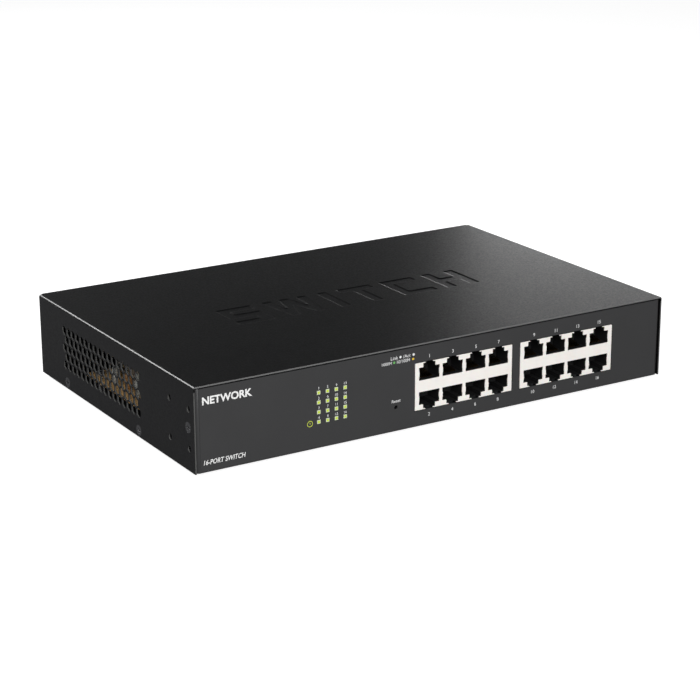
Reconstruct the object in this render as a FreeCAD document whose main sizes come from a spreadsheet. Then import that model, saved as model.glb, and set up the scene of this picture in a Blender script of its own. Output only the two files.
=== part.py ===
import FreeCAD, Part
import math
import os
import re
import Sketcher

# Sixteen-port network switch in a sheet-steel case. Millimetres, +X right, +Y back, +Z up.
# The origin is the middle of the footprint, on the surface that the feet stand on.

SIZES = {
    # Case and sheet metal
    "case_width": 280, "case_depth": 180, "case_height": 43.6, "foot_height": 2, "sheet": 0.8,
    "cover_gap": 0.2, "top_gap": 0.3, "cover_bend": 1.2, "panel_bend": 1.8, "panel_recess": 0.2,
    "film": 0.25, "film_inset": 2, "film_corner": 1.5, "film_low": 0.7,
    "film_high": 0.4, "rear_lip": 2, "lip_drop": 4.6,
    "front_tab": 34, "flange_height": 8, "floor_bend": 0.9,
    # Feet
    "foot_radius": 6, "foot_inset": 24, "foot_round": 0.6,
    # Honeycomb vents
    "vent_pitch": 5.5, "vent_flats": 4.6, "vent_rows": 5, "vent_columns": 17, "vent_front": 60.3,
    "vent_low": 12.89,
    # Case screws, bracket holes and their nuts
    "screw_head": 2.8, "screw_thread": 1.25, "screw_length": 6, "recess_length": 3.2, "recess_width": 0.6,
    "recess_depth": 0.9, "cover_hole_clear": 2.1, "nut_radius": 2.6, "nut_length": 2,
    "bracket_hole": 1.7, "bracket_front": 5.7, "bracket_pitch": 20, "bracket_low": 11.3,
    "tab_screw_back": 6.5, "tab_screw_up": 21.9, "low_screw_up": 3.45, "low_screw_a": 60.9,
    "low_screw_b": 146.8, "pan_head": 2.7, "pan_height": 1.8, "pan_length": 5,
    # Pressed word on the lid
    "word_width": 149, "word_depth": 28.5, "word_stroke": 6.4, "word_sink": 0.3, "word_back": 88.8,
    "word_gap": 6, "word_round": 1.4,
    # Port blocks
    "port_pitch": 14.05, "port_width": 12.3, "port_height": 6.8, "port_step_width": 7.3,
    "port_step": 2.2, "latch_width": 4.6, "latch_depth": 3, "port_depth": 14, "carrier": 3,
    "block_wall": 2.3, "block_height": 24.8, "block_depth": 29, "block_gap": 5.3,
    "face_plate": 1, "nib": 0.22, "block_up": 8.6, "block_lip": 2.6, "blocks_middle": 45.25,
    "block_clear": 0.35, "peg_radius": 1.6, "peg_clear": 0.1, "contact_pitch": 1.02,
    "contact_width": 0.4, "contact_thick": 0.3, "contact_front": 3.4, "contact_rise": 2.2,
    # Main circuit board and what it carries
    "board_thick": 1.6, "board_gap": 3, "board_depth": 96, "board_right_gap": 24, "board_front_gap": 2.4,
    "post_radius": 2.5, "post_inset": 5, "magnetic_width": 15, "magnetic_depth": 7, "magnetic_height": 6,
    "magnetic_pitch": 17.5, "chip_side": 24, "chip_height": 2, "sink_side": 28, "sink_height": 12,
    "sink_base": 2.5, "fin": 1.1, "fin_pitch": 3.3, "phy_side": 12, "phy_height": 1.3, "phy_pitch": 22,
    "magnetic_margin": 2, "magnetics_behind": 14, "chip_behind": 24, "chip_shift": 5, "phy_gap": 3,
    "small_left": 22, "small_pitch": 9, "memory_width": 5.2, "memory_height": 1.8,
    "crystal_length": 11, "crystal_width": 4.6, "crystal_height": 3.6, "can_radius": 3.15,
    "can_height": 8, "can_front": 14, "coil_side": 8, "coil_pitch": 12, "coil_behind": 11,
    "coil_height": 4.5, "header_width": 12, "header_depth": 5.8,
    "header_height": 7, "header_inset": 2, "header_back": 22,
    # Lamps and reset switch
    "lamp_pitch": 5, "lamp_side": 2, "lamp_left": 67.9, "lamp_low": 13.5, "lamp_length": 11,
    "lamp_recess": 0.05, "lamp_clear": 0.3, "holder_depth": 9, "holder_gap": 0.6,
    "holder_wall": 2.2, "lead_side": 0.5, "lead_pitch": 1.27, "lead_reach": 1.5, "lead_row_step": 1.3,
    "power_radius": 1.7, "power_left": 5.1,
    "reset_left": 11.2, "reset_up": 12.6, "pin_hole": 1.02, "reset_side": 6, "reset_deep": 4.4,
    "reset_back": 4.2, "plunger_radius": 1.75, "plunger_fit": 0.05, "plunger_out": 1.3,
    "plunger_in": 1.2, "plunger_travel": 0.25, "dome": 0.15, "frame_thick": 0.3,
    # Power supply
    "supply_width": 44, "supply_depth": 84, "supply_left": 8, "supply_rear": 39, "supply_up": 6,
    "film_under": 0.4, "part_gap": 0.5, "cap_radius": 8, "cap_height": 25, "core_width": 22, "core_depth": 20,
    "core_height": 18, "winding_out": 2.6, "winding_height": 12, "plate": 1.6, "plate_length": 20,
    "plate_height": 22, "chip_wide": 10, "chip_deep": 4.4, "chip_tall": 15, "x_cap_width": 13,
    "x_cap_depth": 6, "x_cap_height": 12, "choke_side": 14, "choke_height": 15, "choke_hole": 7,
    "fuse_radius": 2.5, "fuse_length": 20, "fuse_cap": 5, "out_can_radius": 4, "out_can_height": 14,
    "out_can_pitch": 9, "out_can_left": 13.5, "out_can_front": 6, "mains_left": 18, "fuse_left": 10,
    "fuse_back": 12, "clip_wall": 0.5, "x_cap_right": 3, "x_cap_back": 11, "choke_right": 24,
    "choke_back": 28, "choke_yoke": 3, "cap_right": 2, "cap_back": 29, "core_left": 13,
    "core_front": 15, "core_leg": 4, "plate_left": 12, "chip_foot": 4, "dc_rise": 7,
    # Mains inlet, leads and earth
    "inlet_left": 35, "inlet_up": 22, "inlet_width": 27.4, "inlet_height": 19.8, "inlet_deep": 21,
    "flange_width": 50, "flange_tall": 24, "flange_thick": 1.8, "cavity_width": 24.2,
    "cavity_height": 16.4, "cavity_cut": 5, "cavity_deep": 17, "blade_thick": 2, "blade_tall": 4,
    "blade_long": 15, "blade_tail": 7, "blade_side": 7, "blade_drop": 2, "inlet_screws": 40,
    "lead_radius": 1.1, "dc_lead_radius": 0.8, "lug_thick": 0.8, "earth_out": 28,
    "lead_start": 5, "lug_width": 5.2, "lug_length": 13, "ground_right": 40, "ground_up": 14,
}

DOC = FreeCAD.newDocument("network_switch")
PIECES = []

# Places worked out from the driving sizes, as expressions.
FRONT = "(-(case_depth + rear_lip) / 2)"
REAR = f"({FRONT} + case_depth)"
LIP = f"({REAR} + rear_lip)"
SIDE = "(case_width / 2)"
WALL = "(case_width / 2 - sheet - cover_gap)"
TOP = "(foot_height + case_height)"
UNDER_LID = f"({TOP} - sheet)"
FLOOR = "(foot_height + sheet)"
FILM = f"({FRONT} + panel_recess)"
PANEL = f"({FILM} + film)"
INSIDE = f"({PANEL} + sheet)"
PANEL_TOP = f"({UNDER_LID} - top_gap)"
BLOCK_WIDTH = "(3 * port_pitch + port_width + 2 * block_wall)"
BLOCK_A = f"(blocks_middle - block_gap / 2 - {BLOCK_WIDTH})"
BLOCK_B = "(blocks_middle + block_gap / 2)"
BLOCK_LOW = "(foot_height + block_up)"
BOARD_TOP = BLOCK_LOW
BOARD_LOW = f"({BOARD_TOP} - board_thick)"
SUPPLY_LEFT = f"(-{WALL} + supply_left)"
SUPPLY_RIGHT = f"({SUPPLY_LEFT} + supply_width)"
SUPPLY_REAR = f"({REAR} - supply_rear)"
SUPPLY_FRONT = f"({SUPPLY_REAR} - supply_depth)"
SUPPLY_LOW = f"({FLOOR} + film_under + supply_up)"
SUPPLY_TOP = f"({SUPPLY_LOW} + board_thick)"
BOARD_LEFT = f"({SUPPLY_RIGHT} + board_gap)"
BOARD_RIGHT = f"({SIDE} - board_right_gap)"
BOARD_FRONT = f"({INSIDE} + board_front_gap)"
BOARD_REAR = f"({BOARD_FRONT} + board_depth)"
LAMP_X = f"(-{SIDE} + lamp_left)"
LAMP_Z = "(foot_height + lamp_low)"
LENS_BACK = f"({FILM} + lamp_recess + lamp_length)"
RESET_X = f"({BLOCK_A} - reset_left)"
RESET_Z = "(foot_height + reset_up)"
RESET_FRONT = f"({INSIDE} + reset_back)"
INLET_X = f"(-{SIDE} + inlet_left)"
INLET_Z = "(foot_height + inlet_up)"
VENT_Y = f"({FRONT} + vent_front)"
VENT_Z = "(foot_height + vent_low)"
ROW_PITCH = "(vent_pitch * 0.8660254)"
HEADER_Y = f"({SUPPLY_FRONT} + header_back)"
MAINS_X = f"({SUPPLY_LEFT} + mains_left)"
BRACKET_Y = f"({FRONT} + bracket_front)"
BRACKET_Z = "(foot_height + bracket_low)"


def make_sheet():
    """Writes the driving dimensions to the sheet, one alias to a row."""
    sheet = DOC.addObject("Spreadsheet::Sheet", "Sizes")
    for row, (alias, size) in enumerate(SIZES.items(), start=1):
        sheet.set(f"A{row}", alias)
        sheet.set(f"B{row}", str(size))
        sheet.setAlias(f"B{row}", alias)
    DOC.recompute()
    return sheet


SHEET = make_sheet()


def bound(text):
    """Puts the sheet's name before each alias in an expression."""
    def with_sheet(word):
        return "Sizes." + word.group() if word.group() in SIZES else word.group()
    return re.sub(r"[a-z][a-z_]*", with_sheet, text)


def value(text):
    """The number that an expression stands for now."""
    return float(SHEET.evalExpression(bound(text)))


def bind(item, prop, text):
    item.setExpression(prop, bound(text))


def point(across, along, up):
    return FreeCAD.Vector(value(across), value(along), value(up))


# Outlines: each gives a function that draws itself in a sketch and ties itself to the sheet.
def outline(corners):
    """A closed polygon; each corner is a pair of expressions."""
    def draw(sketch):
        first = sketch.GeometryCount
        spots = [FreeCAD.Vector(value(a), value(b), 0) for a, b in corners]
        for here, there in zip(spots, spots[1:] + spots[:1]):
            sketch.addGeometry(Part.LineSegment(here, there), False)
        for index, (a, b) in enumerate(corners):
            line = first + index
            after = first + (index + 1) % len(corners)
            tie(sketch, "Coincident", line, 2, after, 1)
            pin(sketch, line, 1, a, b, spots[index])
    return draw


def rectangle(left, right, low, high):
    return outline([(left, low), (right, low), (right, high), (left, high)])


def circle(across, up, radius):
    def draw(sketch):
        spot = FreeCAD.Vector(value(across), value(up), 0)
        ring = Part.Circle(spot, FreeCAD.Vector(0, 0, 1), value(radius))
        index = sketch.addGeometry(ring, False)
        pin(sketch, index, 3, across, up, spot)
        rule = tie(sketch, "Radius", index, value(radius))
        bind(sketch, f"Constraints[{rule}]", radius)
    return draw


def hexagon(across, up, flats):
    """A hexagon that stands on a corner; flats is the width between its upright sides."""
    arm = f"({flats} / 1.7320508)"
    half = f"({flats} / 2)"
    return outline([
        (across, f"{up} - {arm}"), (f"{across} + {half}", f"{up} - {arm} / 2"),
        (f"{across} + {half}", f"{up} + {arm} / 2"), (across, f"{up} + {arm}"),
        (f"{across} - {half}", f"{up} + {arm} / 2"), (f"{across} - {half}", f"{up} - {arm} / 2"),
    ])


def tie(sketch, *terms):
    return sketch.addConstraint(Sketcher.Constraint(*terms))


def pin(sketch, index, place, across, up, spot):
    """Holds a point of the sketch at two expressions."""
    for kind, text, number in (("DistanceX", across, spot.x), ("DistanceY", up, spot.y)):
        rule = tie(sketch, kind, -1, 1, index, place, number)
        bind(sketch, f"Constraints[{rule}]", text)


# Sheet-tied building steps.
def piece(item, label):
    """Names a finished sub-part and lists it for the export."""
    item.Label = label
    PIECES.append(item)
    return item


def new_body(label, exported=True):
    body = DOC.addObject("PartDesign::Body", label)
    body.Label = label
    body.AllowCompound = True
    if exported:
        PIECES.append(body)
    return body


def origin_item(body, role):
    return next(item for item in body.Origin.OriginFeatures if item.Role == role)


def sketch_on(body, plane, level, drawings):
    """A sketch parallel to an origin plane, at a level along that plane's world axis."""
    sketch = body.newObject("Sketcher::SketchObject", body.Label + "_sketch")
    sketch.AttachmentSupport = [(origin_item(body, plane + "_Plane"), "")]
    sketch.MapMode = "FlatFace"
    bind(sketch, "AttachmentOffset.Base.z", f"-({level})" if plane == "XZ" else level)
    for draw in drawings:
        draw(sketch)
    return sketch


def pad(body, plane, low, high, *drawings):
    """Adds material between two levels."""
    start = high if plane == "XZ" else low
    sketch = sketch_on(body, plane, start, drawings)
    feature = body.newObject("PartDesign::Pad", body.Label + "_pad")
    feature.Profile = sketch
    bind(feature, "Length", f"{high} - ({low})")
    sketch.Visibility = False
    DOC.recompute()
    return feature


def pocket(body, plane, low, high, *drawings):
    """Cuts material away between two levels."""
    start = low if plane == "XZ" else high
    sketch = sketch_on(body, plane, start, drawings)
    feature = body.newObject("PartDesign::Pocket", body.Label + "_pocket")
    feature.Profile = sketch
    bind(feature, "Length", f"{high} - ({low})")
    sketch.Visibility = False
    DOC.recompute()
    return feature


def pattern(body, features, axis, step, count, second=None):
    """Repeats features along an axis, and along a second one as (axis, step, count)."""
    row = body.newObject("PartDesign::LinearPattern", body.Label + "_row")
    row.Originals = features
    row.Direction = (origin_item(body, axis + "_Axis"), [""])
    bind(row, "Length", f"({step}) * ({count} - 1)")
    bind(row, "Occurrences", count)
    if second:
        axis, step, count = second
        row.Direction2 = (origin_item(body, axis + "_Axis"), [""])
        bind(row, "Length2", f"({step}) * ({count} - 1)")
        bind(row, "Occurrences2", count)
    body.Tip = row
    DOC.recompute()
    return row


def spin(body, corners):
    """Turns a half profile in the XZ plane about the Z axis."""
    sketch = sketch_on(body, "XZ", "0", [outline(corners)])
    feature = body.newObject("PartDesign::Revolution", body.Label + "_turned")
    feature.Profile = sketch
    feature.ReferenceAxis = (sketch, ["V_Axis"])
    feature.Angle = 360
    DOC.recompute()
    return feature


def round_edges(body, radius, chosen):
    """Rounds the edges that the test picks, and takes the sheet's radius."""
    base = body.Tip
    names = [f"Edge{n}" for n, edge in enumerate(base.Shape.Edges, start=1) if chosen(edge)]
    fillet = body.newObject("PartDesign::Fillet", body.Label + "_round")
    fillet.Base = (base, names)
    bind(fillet, "Radius", radius)
    body.Tip = fillet
    DOC.recompute()
    return fillet


def runs_along(edge, axis, **levels):
    """True for a straight edge along an axis, at the levels given; x counts on both sides."""
    box = edge.BoundBox
    spans = {"x": box.XLength, "y": box.YLength, "z": box.ZLength}
    middle = {"x": abs(box.Center.x), "y": box.Center.y, "z": box.Center.z}
    straight = all(span < 1e-4 for name, span in spans.items() if name != axis)
    return straight and all(abs(middle[name] - level) < 1e-3 for name, level in levels.items())


def block(label, left, right, front, back, low, high, exported=True):
    """A plain box between six levels."""
    box = DOC.addObject("Part::Box", label)
    for prop, near, far in (("Length", left, right), ("Width", front, back), ("Height", low, high)):
        bind(box, prop, f"{far} - ({near})")
    for prop, near in (("x", left), ("y", front), ("z", low)):
        bind(box, f"Placement.Base.{prop}", near)
    return piece(box, label) if exported else box


def rod(label, across, along, up, radius, length, exported=False):
    """An upright cylinder on a spot."""
    body = DOC.addObject("Part::Cylinder", label)
    bind(body, "Radius", radius)
    bind(body, "Height", length)
    for prop, text in (("x", across), ("y", along), ("z", up)):
        bind(body, f"Placement.Base.{prop}", text)
    return piece(body, label) if exported else body


def turned_rod(label, across, along, up, radius, length, axis):
    """A cylinder that starts at a spot and points along a world axis."""
    body = rod(label, across, along, up, radius, length)
    body.Placement.Rotation = FreeCAD.Rotation(FreeCAD.Vector(0, 0, 1), FreeCAD.Vector(*axis))
    return body


def group(label, members):
    """Several solids of one kind under one name."""
    DOC.recompute()
    compound = DOC.addObject("Part::Compound", label)
    compound.Links = members
    return piece(compound, label)


def cut(label, base, tool, exported=True):
    DOC.recompute()
    result = DOC.addObject("Part::Cut", label)
    result.Base = base
    result.Tool = tool
    return piece(result, label) if exported else result


def copies(label, master, places, outward):
    """Copies of a master piece, its +Z turned to point outward, as one group."""
    links = []
    for index, (across, along, up) in enumerate(places):
        link = DOC.addObject("App::Link", f"{label}_{index}")
        link.LinkedObject = master
        side = outward(index) if callable(outward) else outward
        turn = FreeCAD.Rotation(FreeCAD.Vector(0, 0, 1), FreeCAD.Vector(*side))
        link.Placement = FreeCAD.Placement(FreeCAD.Vector(), turn)
        for prop, text in (("x", across), ("y", along), ("z", up)):
            bind(link, f"Placement.Base.{prop}", text)
        links.append(link)
    return group(label, links)


# Masters of the fasteners.
def flat_screw():
    """Countersunk cross-recess screw: head flush with z = 0, shank down."""
    body = new_body("flat_screw_master", exported=False)
    spin(body, [("0", "0"), ("screw_head", "0"), ("screw_thread", "-(screw_head - screw_thread)"),
                ("screw_thread", "-screw_length"), ("0", "-screw_length")])
    pocket(body, "XY", "-recess_depth", "0",
           rectangle("-recess_length / 2", "recess_length / 2", "-recess_width / 2", "recess_width / 2"))
    pocket(body, "XY", "-recess_depth", "0",
           rectangle("-recess_width / 2", "recess_width / 2", "-recess_length / 2", "recess_length / 2"))
    return body


def pan_screw():
    """Pan-head cross-recess screw: head stands on z = 0, shank down."""
    body = new_body("pan_screw_master", exported=False)
    spin(body, [("0", "pan_height"), ("pan_head * 0.7", "pan_height"), ("pan_head", "pan_height * 0.6"),
                ("pan_head", "0"), ("screw_thread", "0"), ("screw_thread", "-pan_length"),
                ("0", "-pan_length")])
    for long_side, short_side in (("recess_length", "recess_width"), ("recess_width", "recess_length")):
        pocket(body, "XY", "pan_height - recess_depth", "pan_height",
               rectangle(f"-{long_side} / 2", f"{long_side} / 2", f"-{short_side} / 2", f"{short_side} / 2"))
    return body


def clinch_nut():
    """Round nut with a tapped bore: its seat is z = 0 and its body is below."""
    body = new_body("clinch_nut_master", exported=False)
    pad(body, "XY", "-nut_length", "0", circle("0", "0", "nut_radius"))
    pocket(body, "XY", "-nut_length", "0", circle("0", "0", "screw_thread"))
    return body


# Places shared by holes and fasteners.
def side_screw_spots():
    """Each cover screw's depth and height: one in the front tab, two in the low flange."""
    return [(f"{FRONT} + tab_screw_back", "foot_height + tab_screw_up"),
            (f"{FRONT} + low_screw_a", "foot_height + low_screw_up"),
            (f"{FRONT} + low_screw_b", "foot_height + low_screw_up")]


def bracket_spots():
    return [(f"{BRACKET_Y} + {a} * bracket_pitch", f"{BRACKET_Z} + {b} * bracket_pitch")
            for a in (0, 1) for b in (0, 1)]


def main_posts():
    """The main board's posts: behind the port blocks and lamps, and along its rear edge."""
    front = f"{FRONT} + block_depth + 6"
    back = f"{BOARD_REAR} - post_inset"
    columns = [f"{BOARD_LEFT} + post_inset", f"({BOARD_LEFT} + {BOARD_RIGHT}) / 2",
               f"{BOARD_RIGHT} - post_inset"]
    return [(column, row) for column in columns for row in (front, back)]


def supply_posts():
    return [(column, row) for column in (f"{SUPPLY_LEFT} + post_inset", f"{SUPPLY_RIGHT} - post_inset")
            for row in (f"{SUPPLY_FRONT} + post_inset", f"{SUPPLY_REAR} - post_inset")]


def block_lefts():
    return {"left": BLOCK_A, "right": BLOCK_B}


# Case.
def make_chassis():
    """Folded tray: floor, front and rear walls, low side flanges and tall front tabs."""
    body = new_body("base_chassis")
    pad(body, "XY", "foot_height", FLOOR, rectangle(f"-{WALL}", WALL, PANEL, REAR))
    pad(body, "XZ", PANEL, INSIDE, rectangle(f"-{WALL}", WALL, "foot_height", PANEL_TOP))
    pad(body, "XZ", f"{REAR} - sheet", REAR, rectangle(f"-{WALL}", WALL, "foot_height", PANEL_TOP))
    side = [(PANEL, "foot_height"), (REAR, "foot_height"), (REAR, "foot_height + flange_height"),
            (f"{FRONT} + front_tab", "foot_height + flange_height"), (f"{FRONT} + front_tab", PANEL_TOP),
            (PANEL, PANEL_TOP)]
    pad(body, "YZ", f"{WALL} - sheet", WALL, outline(side))
    pad(body, "YZ", f"-{WALL}", f"-{WALL} + sheet", outline(side))
    wall, panel, rear, foot = value(WALL), value(PANEL), value(REAR), value("foot_height")
    round_edges(body, "panel_bend", lambda edge: runs_along(edge, "z", x=wall, y=panel))
    round_edges(body, "floor_bend", lambda edge: runs_along(edge, "x", y=rear, z=foot))
    pocket(body, "XZ", PANEL, INSIDE, *[
        rectangle(f"{left} - block_clear", f"{left} + {BLOCK_WIDTH} + block_clear",
                  f"{BLOCK_LOW} - block_clear", f"{BLOCK_LOW} + block_height + block_clear")
        for left in block_lefts().values()])
    pocket(body, "XZ", PANEL, INSIDE, circle(RESET_X, RESET_Z, "pin_hole"),
           circle(f"{LAMP_X} - power_left", LAMP_Z, "power_radius + lamp_clear"))
    lamp = pocket(body, "XZ", PANEL, INSIDE, lamp_square("lamp_side / 2 + lamp_clear"))
    pattern(body, [lamp], "X", "lamp_pitch", "4", ("Z", "lamp_pitch", "4"))
    pocket(body, "XZ", f"{REAR} - sheet", REAR, inlet_square("inlet_width / 2", "inlet_height / 2"),
           *[circle(x, z, "screw_thread") for x, z in inlet_screw_spots()],
           circle("ground_right", "foot_height + ground_up", "screw_thread"))
    pocket(body, "YZ", f"-{SIDE}", SIDE, *[circle(y, z, "cover_hole_clear") for y, z in side_screw_spots()])
    pocket(body, "YZ", f"-{SIDE}", SIDE, *[circle(y, z, "bracket_hole") for y, z in bracket_spots()])


def lamp_square(half):
    return rectangle(f"{LAMP_X} - ({half})", f"{LAMP_X} + {half}", f"{LAMP_Z} - ({half})",
                     f"{LAMP_Z} + {half}")


def inlet_square(half_width, half_height):
    return rectangle(f"{INLET_X} - {half_width}", f"{INLET_X} + {half_width}",
                     f"{INLET_Z} - {half_height}", f"{INLET_Z} + {half_height}")


def inlet_screw_spots():
    return [(f"{INLET_X} - inlet_screws / 2", INLET_Z), (f"{INLET_X} + inlet_screws / 2", INLET_Z)]


def make_cover():
    """Lid folded down at both sides, with a hem over the rear wall, vents and screw holes."""
    body = new_body("cover_blank", exported=False)
    section = [(f"-{SIDE}", "foot_height"), (f"-{SIDE}", TOP), (SIDE, TOP), (SIDE, "foot_height"),
               (f"{SIDE} - sheet", "foot_height"), (f"{SIDE} - sheet", UNDER_LID),
               (f"-{SIDE} + sheet", UNDER_LID), (f"-{SIDE} + sheet", "foot_height")]
    pad(body, "XZ", FRONT, REAR, outline(section))
    half, top, under, sheet = value(SIDE), value(TOP), value(UNDER_LID), value("sheet")
    round_edges(body, "cover_bend", lambda edge: runs_along(edge, "y", x=half, z=top))
    round_edges(body, "cover_bend / 3", lambda edge: runs_along(edge, "y", x=half - sheet, z=under))
    lip = [(f"{REAR} - sheet", UNDER_LID), (f"{REAR} - sheet", TOP), (LIP, TOP), (LIP, f"{TOP} - lip_drop"),
           (f"{LIP} - sheet", f"{TOP} - lip_drop"), (f"{LIP} - sheet", UNDER_LID)]
    pad(body, "YZ", f"-{SIDE} + 2 * cover_bend", f"{SIDE} - 2 * cover_bend", outline(lip))
    back = value(LIP)
    round_edges(body, "cover_bend", lambda edge: runs_along(edge, "x", y=back, z=top))
    hole = pocket(body, "YZ", f"-{SIDE}", SIDE, hexagon(VENT_Y, VENT_Z, "vent_flats"))
    pattern(body, [hole], "Y", "vent_pitch", "vent_columns", ("Z", f"2 * {ROW_PITCH}", "(vent_rows + 1) / 2"))
    hole = pocket(body, "YZ", f"-{SIDE}", SIDE,
                  hexagon(f"{VENT_Y} + vent_pitch / 2", f"{VENT_Z} + {ROW_PITCH}", "vent_flats"))
    pattern(body, [hole], "Y", "vent_pitch", "vent_columns - 1",
            ("Z", f"2 * {ROW_PITCH}", "(vent_rows - 1) / 2"))
    pocket(body, "YZ", f"-{SIDE}", SIDE, *[circle(y, z, "bracket_hole") for y, z in bracket_spots()])
    for plane_side in (1, -1):
        countersink(body, plane_side)
    cut("top_cover", body, pressed_word())


def countersink(body, plane_side):
    """Countersunk screw holes through one side of the cover."""
    level = SIDE if plane_side > 0 else f"-{SIDE}"
    sketch = sketch_on(body, "YZ", level, [circle(y, z, "screw_head") for y, z in side_screw_spots()])
    DOC.recompute()
    feature = body.newObject("PartDesign::Pocket", body.Label + "_sink")
    feature.Profile = sketch
    bind(feature, "Length", "screw_head - screw_thread")
    feature.TaperAngle = -45
    feature.Reversed = plane_side < 0
    sketch.Visibility = False
    DOC.recompute()


def letter_outlines(width, height, stroke):
    """The letters of the plain word SWITCH, each as a list of corners in its own cell."""
    low, high = (height - stroke) / 2, (height + stroke) / 2
    inner = width - stroke
    slant = stroke * 0.62
    middle = width * 0.65
    letter_s = [(0, 0), (width, 0), (width, high), (stroke, high), (stroke, height - stroke),
                (width, height - stroke), (width, height), (0, height), (0, low), (inner, low),
                (inner, stroke), (0, stroke)]
    wide = width * 1.3
    letter_w = [(slant, 0), (2 * slant + 1, 0), (middle, height * 0.6), (wide - 2 * slant - 1, 0),
                (wide - slant, 0), (wide, height), (wide - stroke, height),
                (wide - stroke * 1.15, stroke * 2), (middle + stroke / 2, height),
                (middle - stroke / 2, height), (stroke * 1.15, stroke * 2), (stroke, height),
                (0, height)]
    letter_i = [(0, 0), (stroke, 0), (stroke, height), (0, height)]
    left, right = (width - stroke) / 2, (width + stroke) / 2
    letter_t = [(left, 0), (right, 0), (right, height - stroke), (width, height - stroke),
                (width, height), (0, height), (0, height - stroke), (left, height - stroke)]
    letter_c = [(0, 0), (width, 0), (width, stroke), (stroke, stroke), (stroke, height - stroke),
                (width, height - stroke), (width, height), (0, height)]
    letter_h = [(0, 0), (stroke, 0), (stroke, low), (inner, low), (inner, 0), (width, 0),
                (width, height), (inner, height), (inner, high), (stroke, high), (stroke, height),
                (0, height)]
    return [(letter_s, width), (letter_w, wide), (letter_i, stroke), (letter_t, width),
            (letter_c, width), (letter_h, width)]


def bend(before, corner, after, reach):
    """The ends and crown of the arc that rounds a corner, tangent to both runs at its reach."""
    back, onward = before - corner, after - corner
    half = back.getAngle(onward) / 2
    back.normalize()
    onward.normalize()
    to_middle = back + onward
    to_middle.normalize()
    radius = reach * math.tan(half)
    crown = corner + to_middle * (radius / math.sin(half) - radius)
    return corner + back * reach, crown, corner + onward * reach


def rounded_face(spots, radius):
    """A flat face inside a polygon whose corners are rounded by arcs."""
    around = list(zip(spots[-1:] + spots[:-1], spots, spots[1:] + spots[:1]))
    bends = []
    for before, corner, after in around:
        reach = min(radius, 0.45 * (before - corner).Length, 0.45 * (after - corner).Length)
        bends.append(bend(before, corner, after, reach))
    edges = []
    for (start, crown, finish), following in zip(bends, bends[1:] + bends[:1]):
        edges.append(Part.Arc(start, crown, finish).toShape())
        edges.append(Part.LineSegment(finish, following[0]).toShape())
    return Part.Face(Part.Wire(edges))


def pressed_word():
    """The shape of the shallow pressed word, sunk into the lid's top face."""
    height, stroke, gap = value("word_depth"), value("word_stroke"), value("word_gap")
    # Four letters of plain width, one W 1.3 times as wide and one I of one stroke, with five gaps.
    width = (value("word_width") - 5 * gap - stroke) / 5.3
    solids = []
    start = -value("word_width") / 2
    front = value(f"{FRONT} + word_back") - height / 2
    for corners, advance in letter_outlines(width, height, stroke):
        spots = [FreeCAD.Vector(start + x, front + y, value(f"{TOP} - word_sink")) for x, y in corners]
        face = rounded_face(spots, value("word_round"))
        solids.append(face.extrude(FreeCAD.Vector(0, 0, 2 * value("word_sink"))))
        start += advance + gap
    cutter = DOC.addObject("Part::Feature", "pressed_word")
    cutter.Shape = Part.makeCompound(solids)
    return cutter


def make_film():
    """Printed film on the front wall, with cut-outs for the ports, lamps and reset pin."""
    body = new_body("front_film")
    edge = f"({WALL} - film_inset)"
    pad(body, "XZ", FILM, PANEL, rectangle(f"-{edge}", edge, "foot_height + film_low",
                                           f"{PANEL_TOP} - film_high"))
    round_edges(body, "film_corner", lambda item: runs_along(item, "y"))
    pocket(body, "XZ", FILM, PANEL, *[
        rectangle(f"{left} - block_clear", f"{left} + {BLOCK_WIDTH} + block_clear",
                  f"{BLOCK_LOW} - block_clear", f"{BLOCK_LOW} + block_height + block_clear")
        for left in block_lefts().values()])
    pocket(body, "XZ", FILM, PANEL, circle(RESET_X, RESET_Z, "pin_hole"))
    lamp = pocket(body, "XZ", FILM, PANEL, lamp_square("lamp_side / 2 + lamp_clear / 3"))
    pattern(body, [lamp], "X", "lamp_pitch", "4", ("Z", "lamp_pitch", "4"))


def make_feet():
    """Four stick-on rubber feet under the floor."""
    body = new_body("rubber_feet")
    along = f"({FRONT} + foot_inset)"
    foot = pad(body, "XY", "0", "foot_height", circle(f"-({SIDE} - foot_inset)", along, "foot_radius"))
    pattern(body, [foot], "X", f"2 * ({SIDE} - foot_inset)", "2", ("Y", "case_depth - 2 * foot_inset", "2"))
    round_edges(body, "foot_round", lambda edge: edge.BoundBox.ZMax < 1e-4)


def make_case_fasteners():
    """Cover screws with their nuts, and the nuts behind the bracket holes."""
    screws, nuts, spares = [], [], []
    for sign in ("-", ""):
        screws += [(f"{sign}{SIDE}", y, z) for y, z in side_screw_spots()]
        nuts += [(f"{sign}({WALL} - sheet)", y, z) for y, z in side_screw_spots()]
        spares += [(f"{sign}({WALL} - sheet)", y, z) for y, z in bracket_spots()]
    copies("cover_screws", FLAT, screws, lambda n: (-1, 0, 0) if n < 3 else (1, 0, 0))
    copies("cover_nuts", NUT, nuts, lambda n: (-1, 0, 0) if n < 3 else (1, 0, 0))
    copies("bracket_nuts", NUT, spares, lambda n: (-1, 0, 0) if n < 4 else (1, 0, 0))


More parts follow.
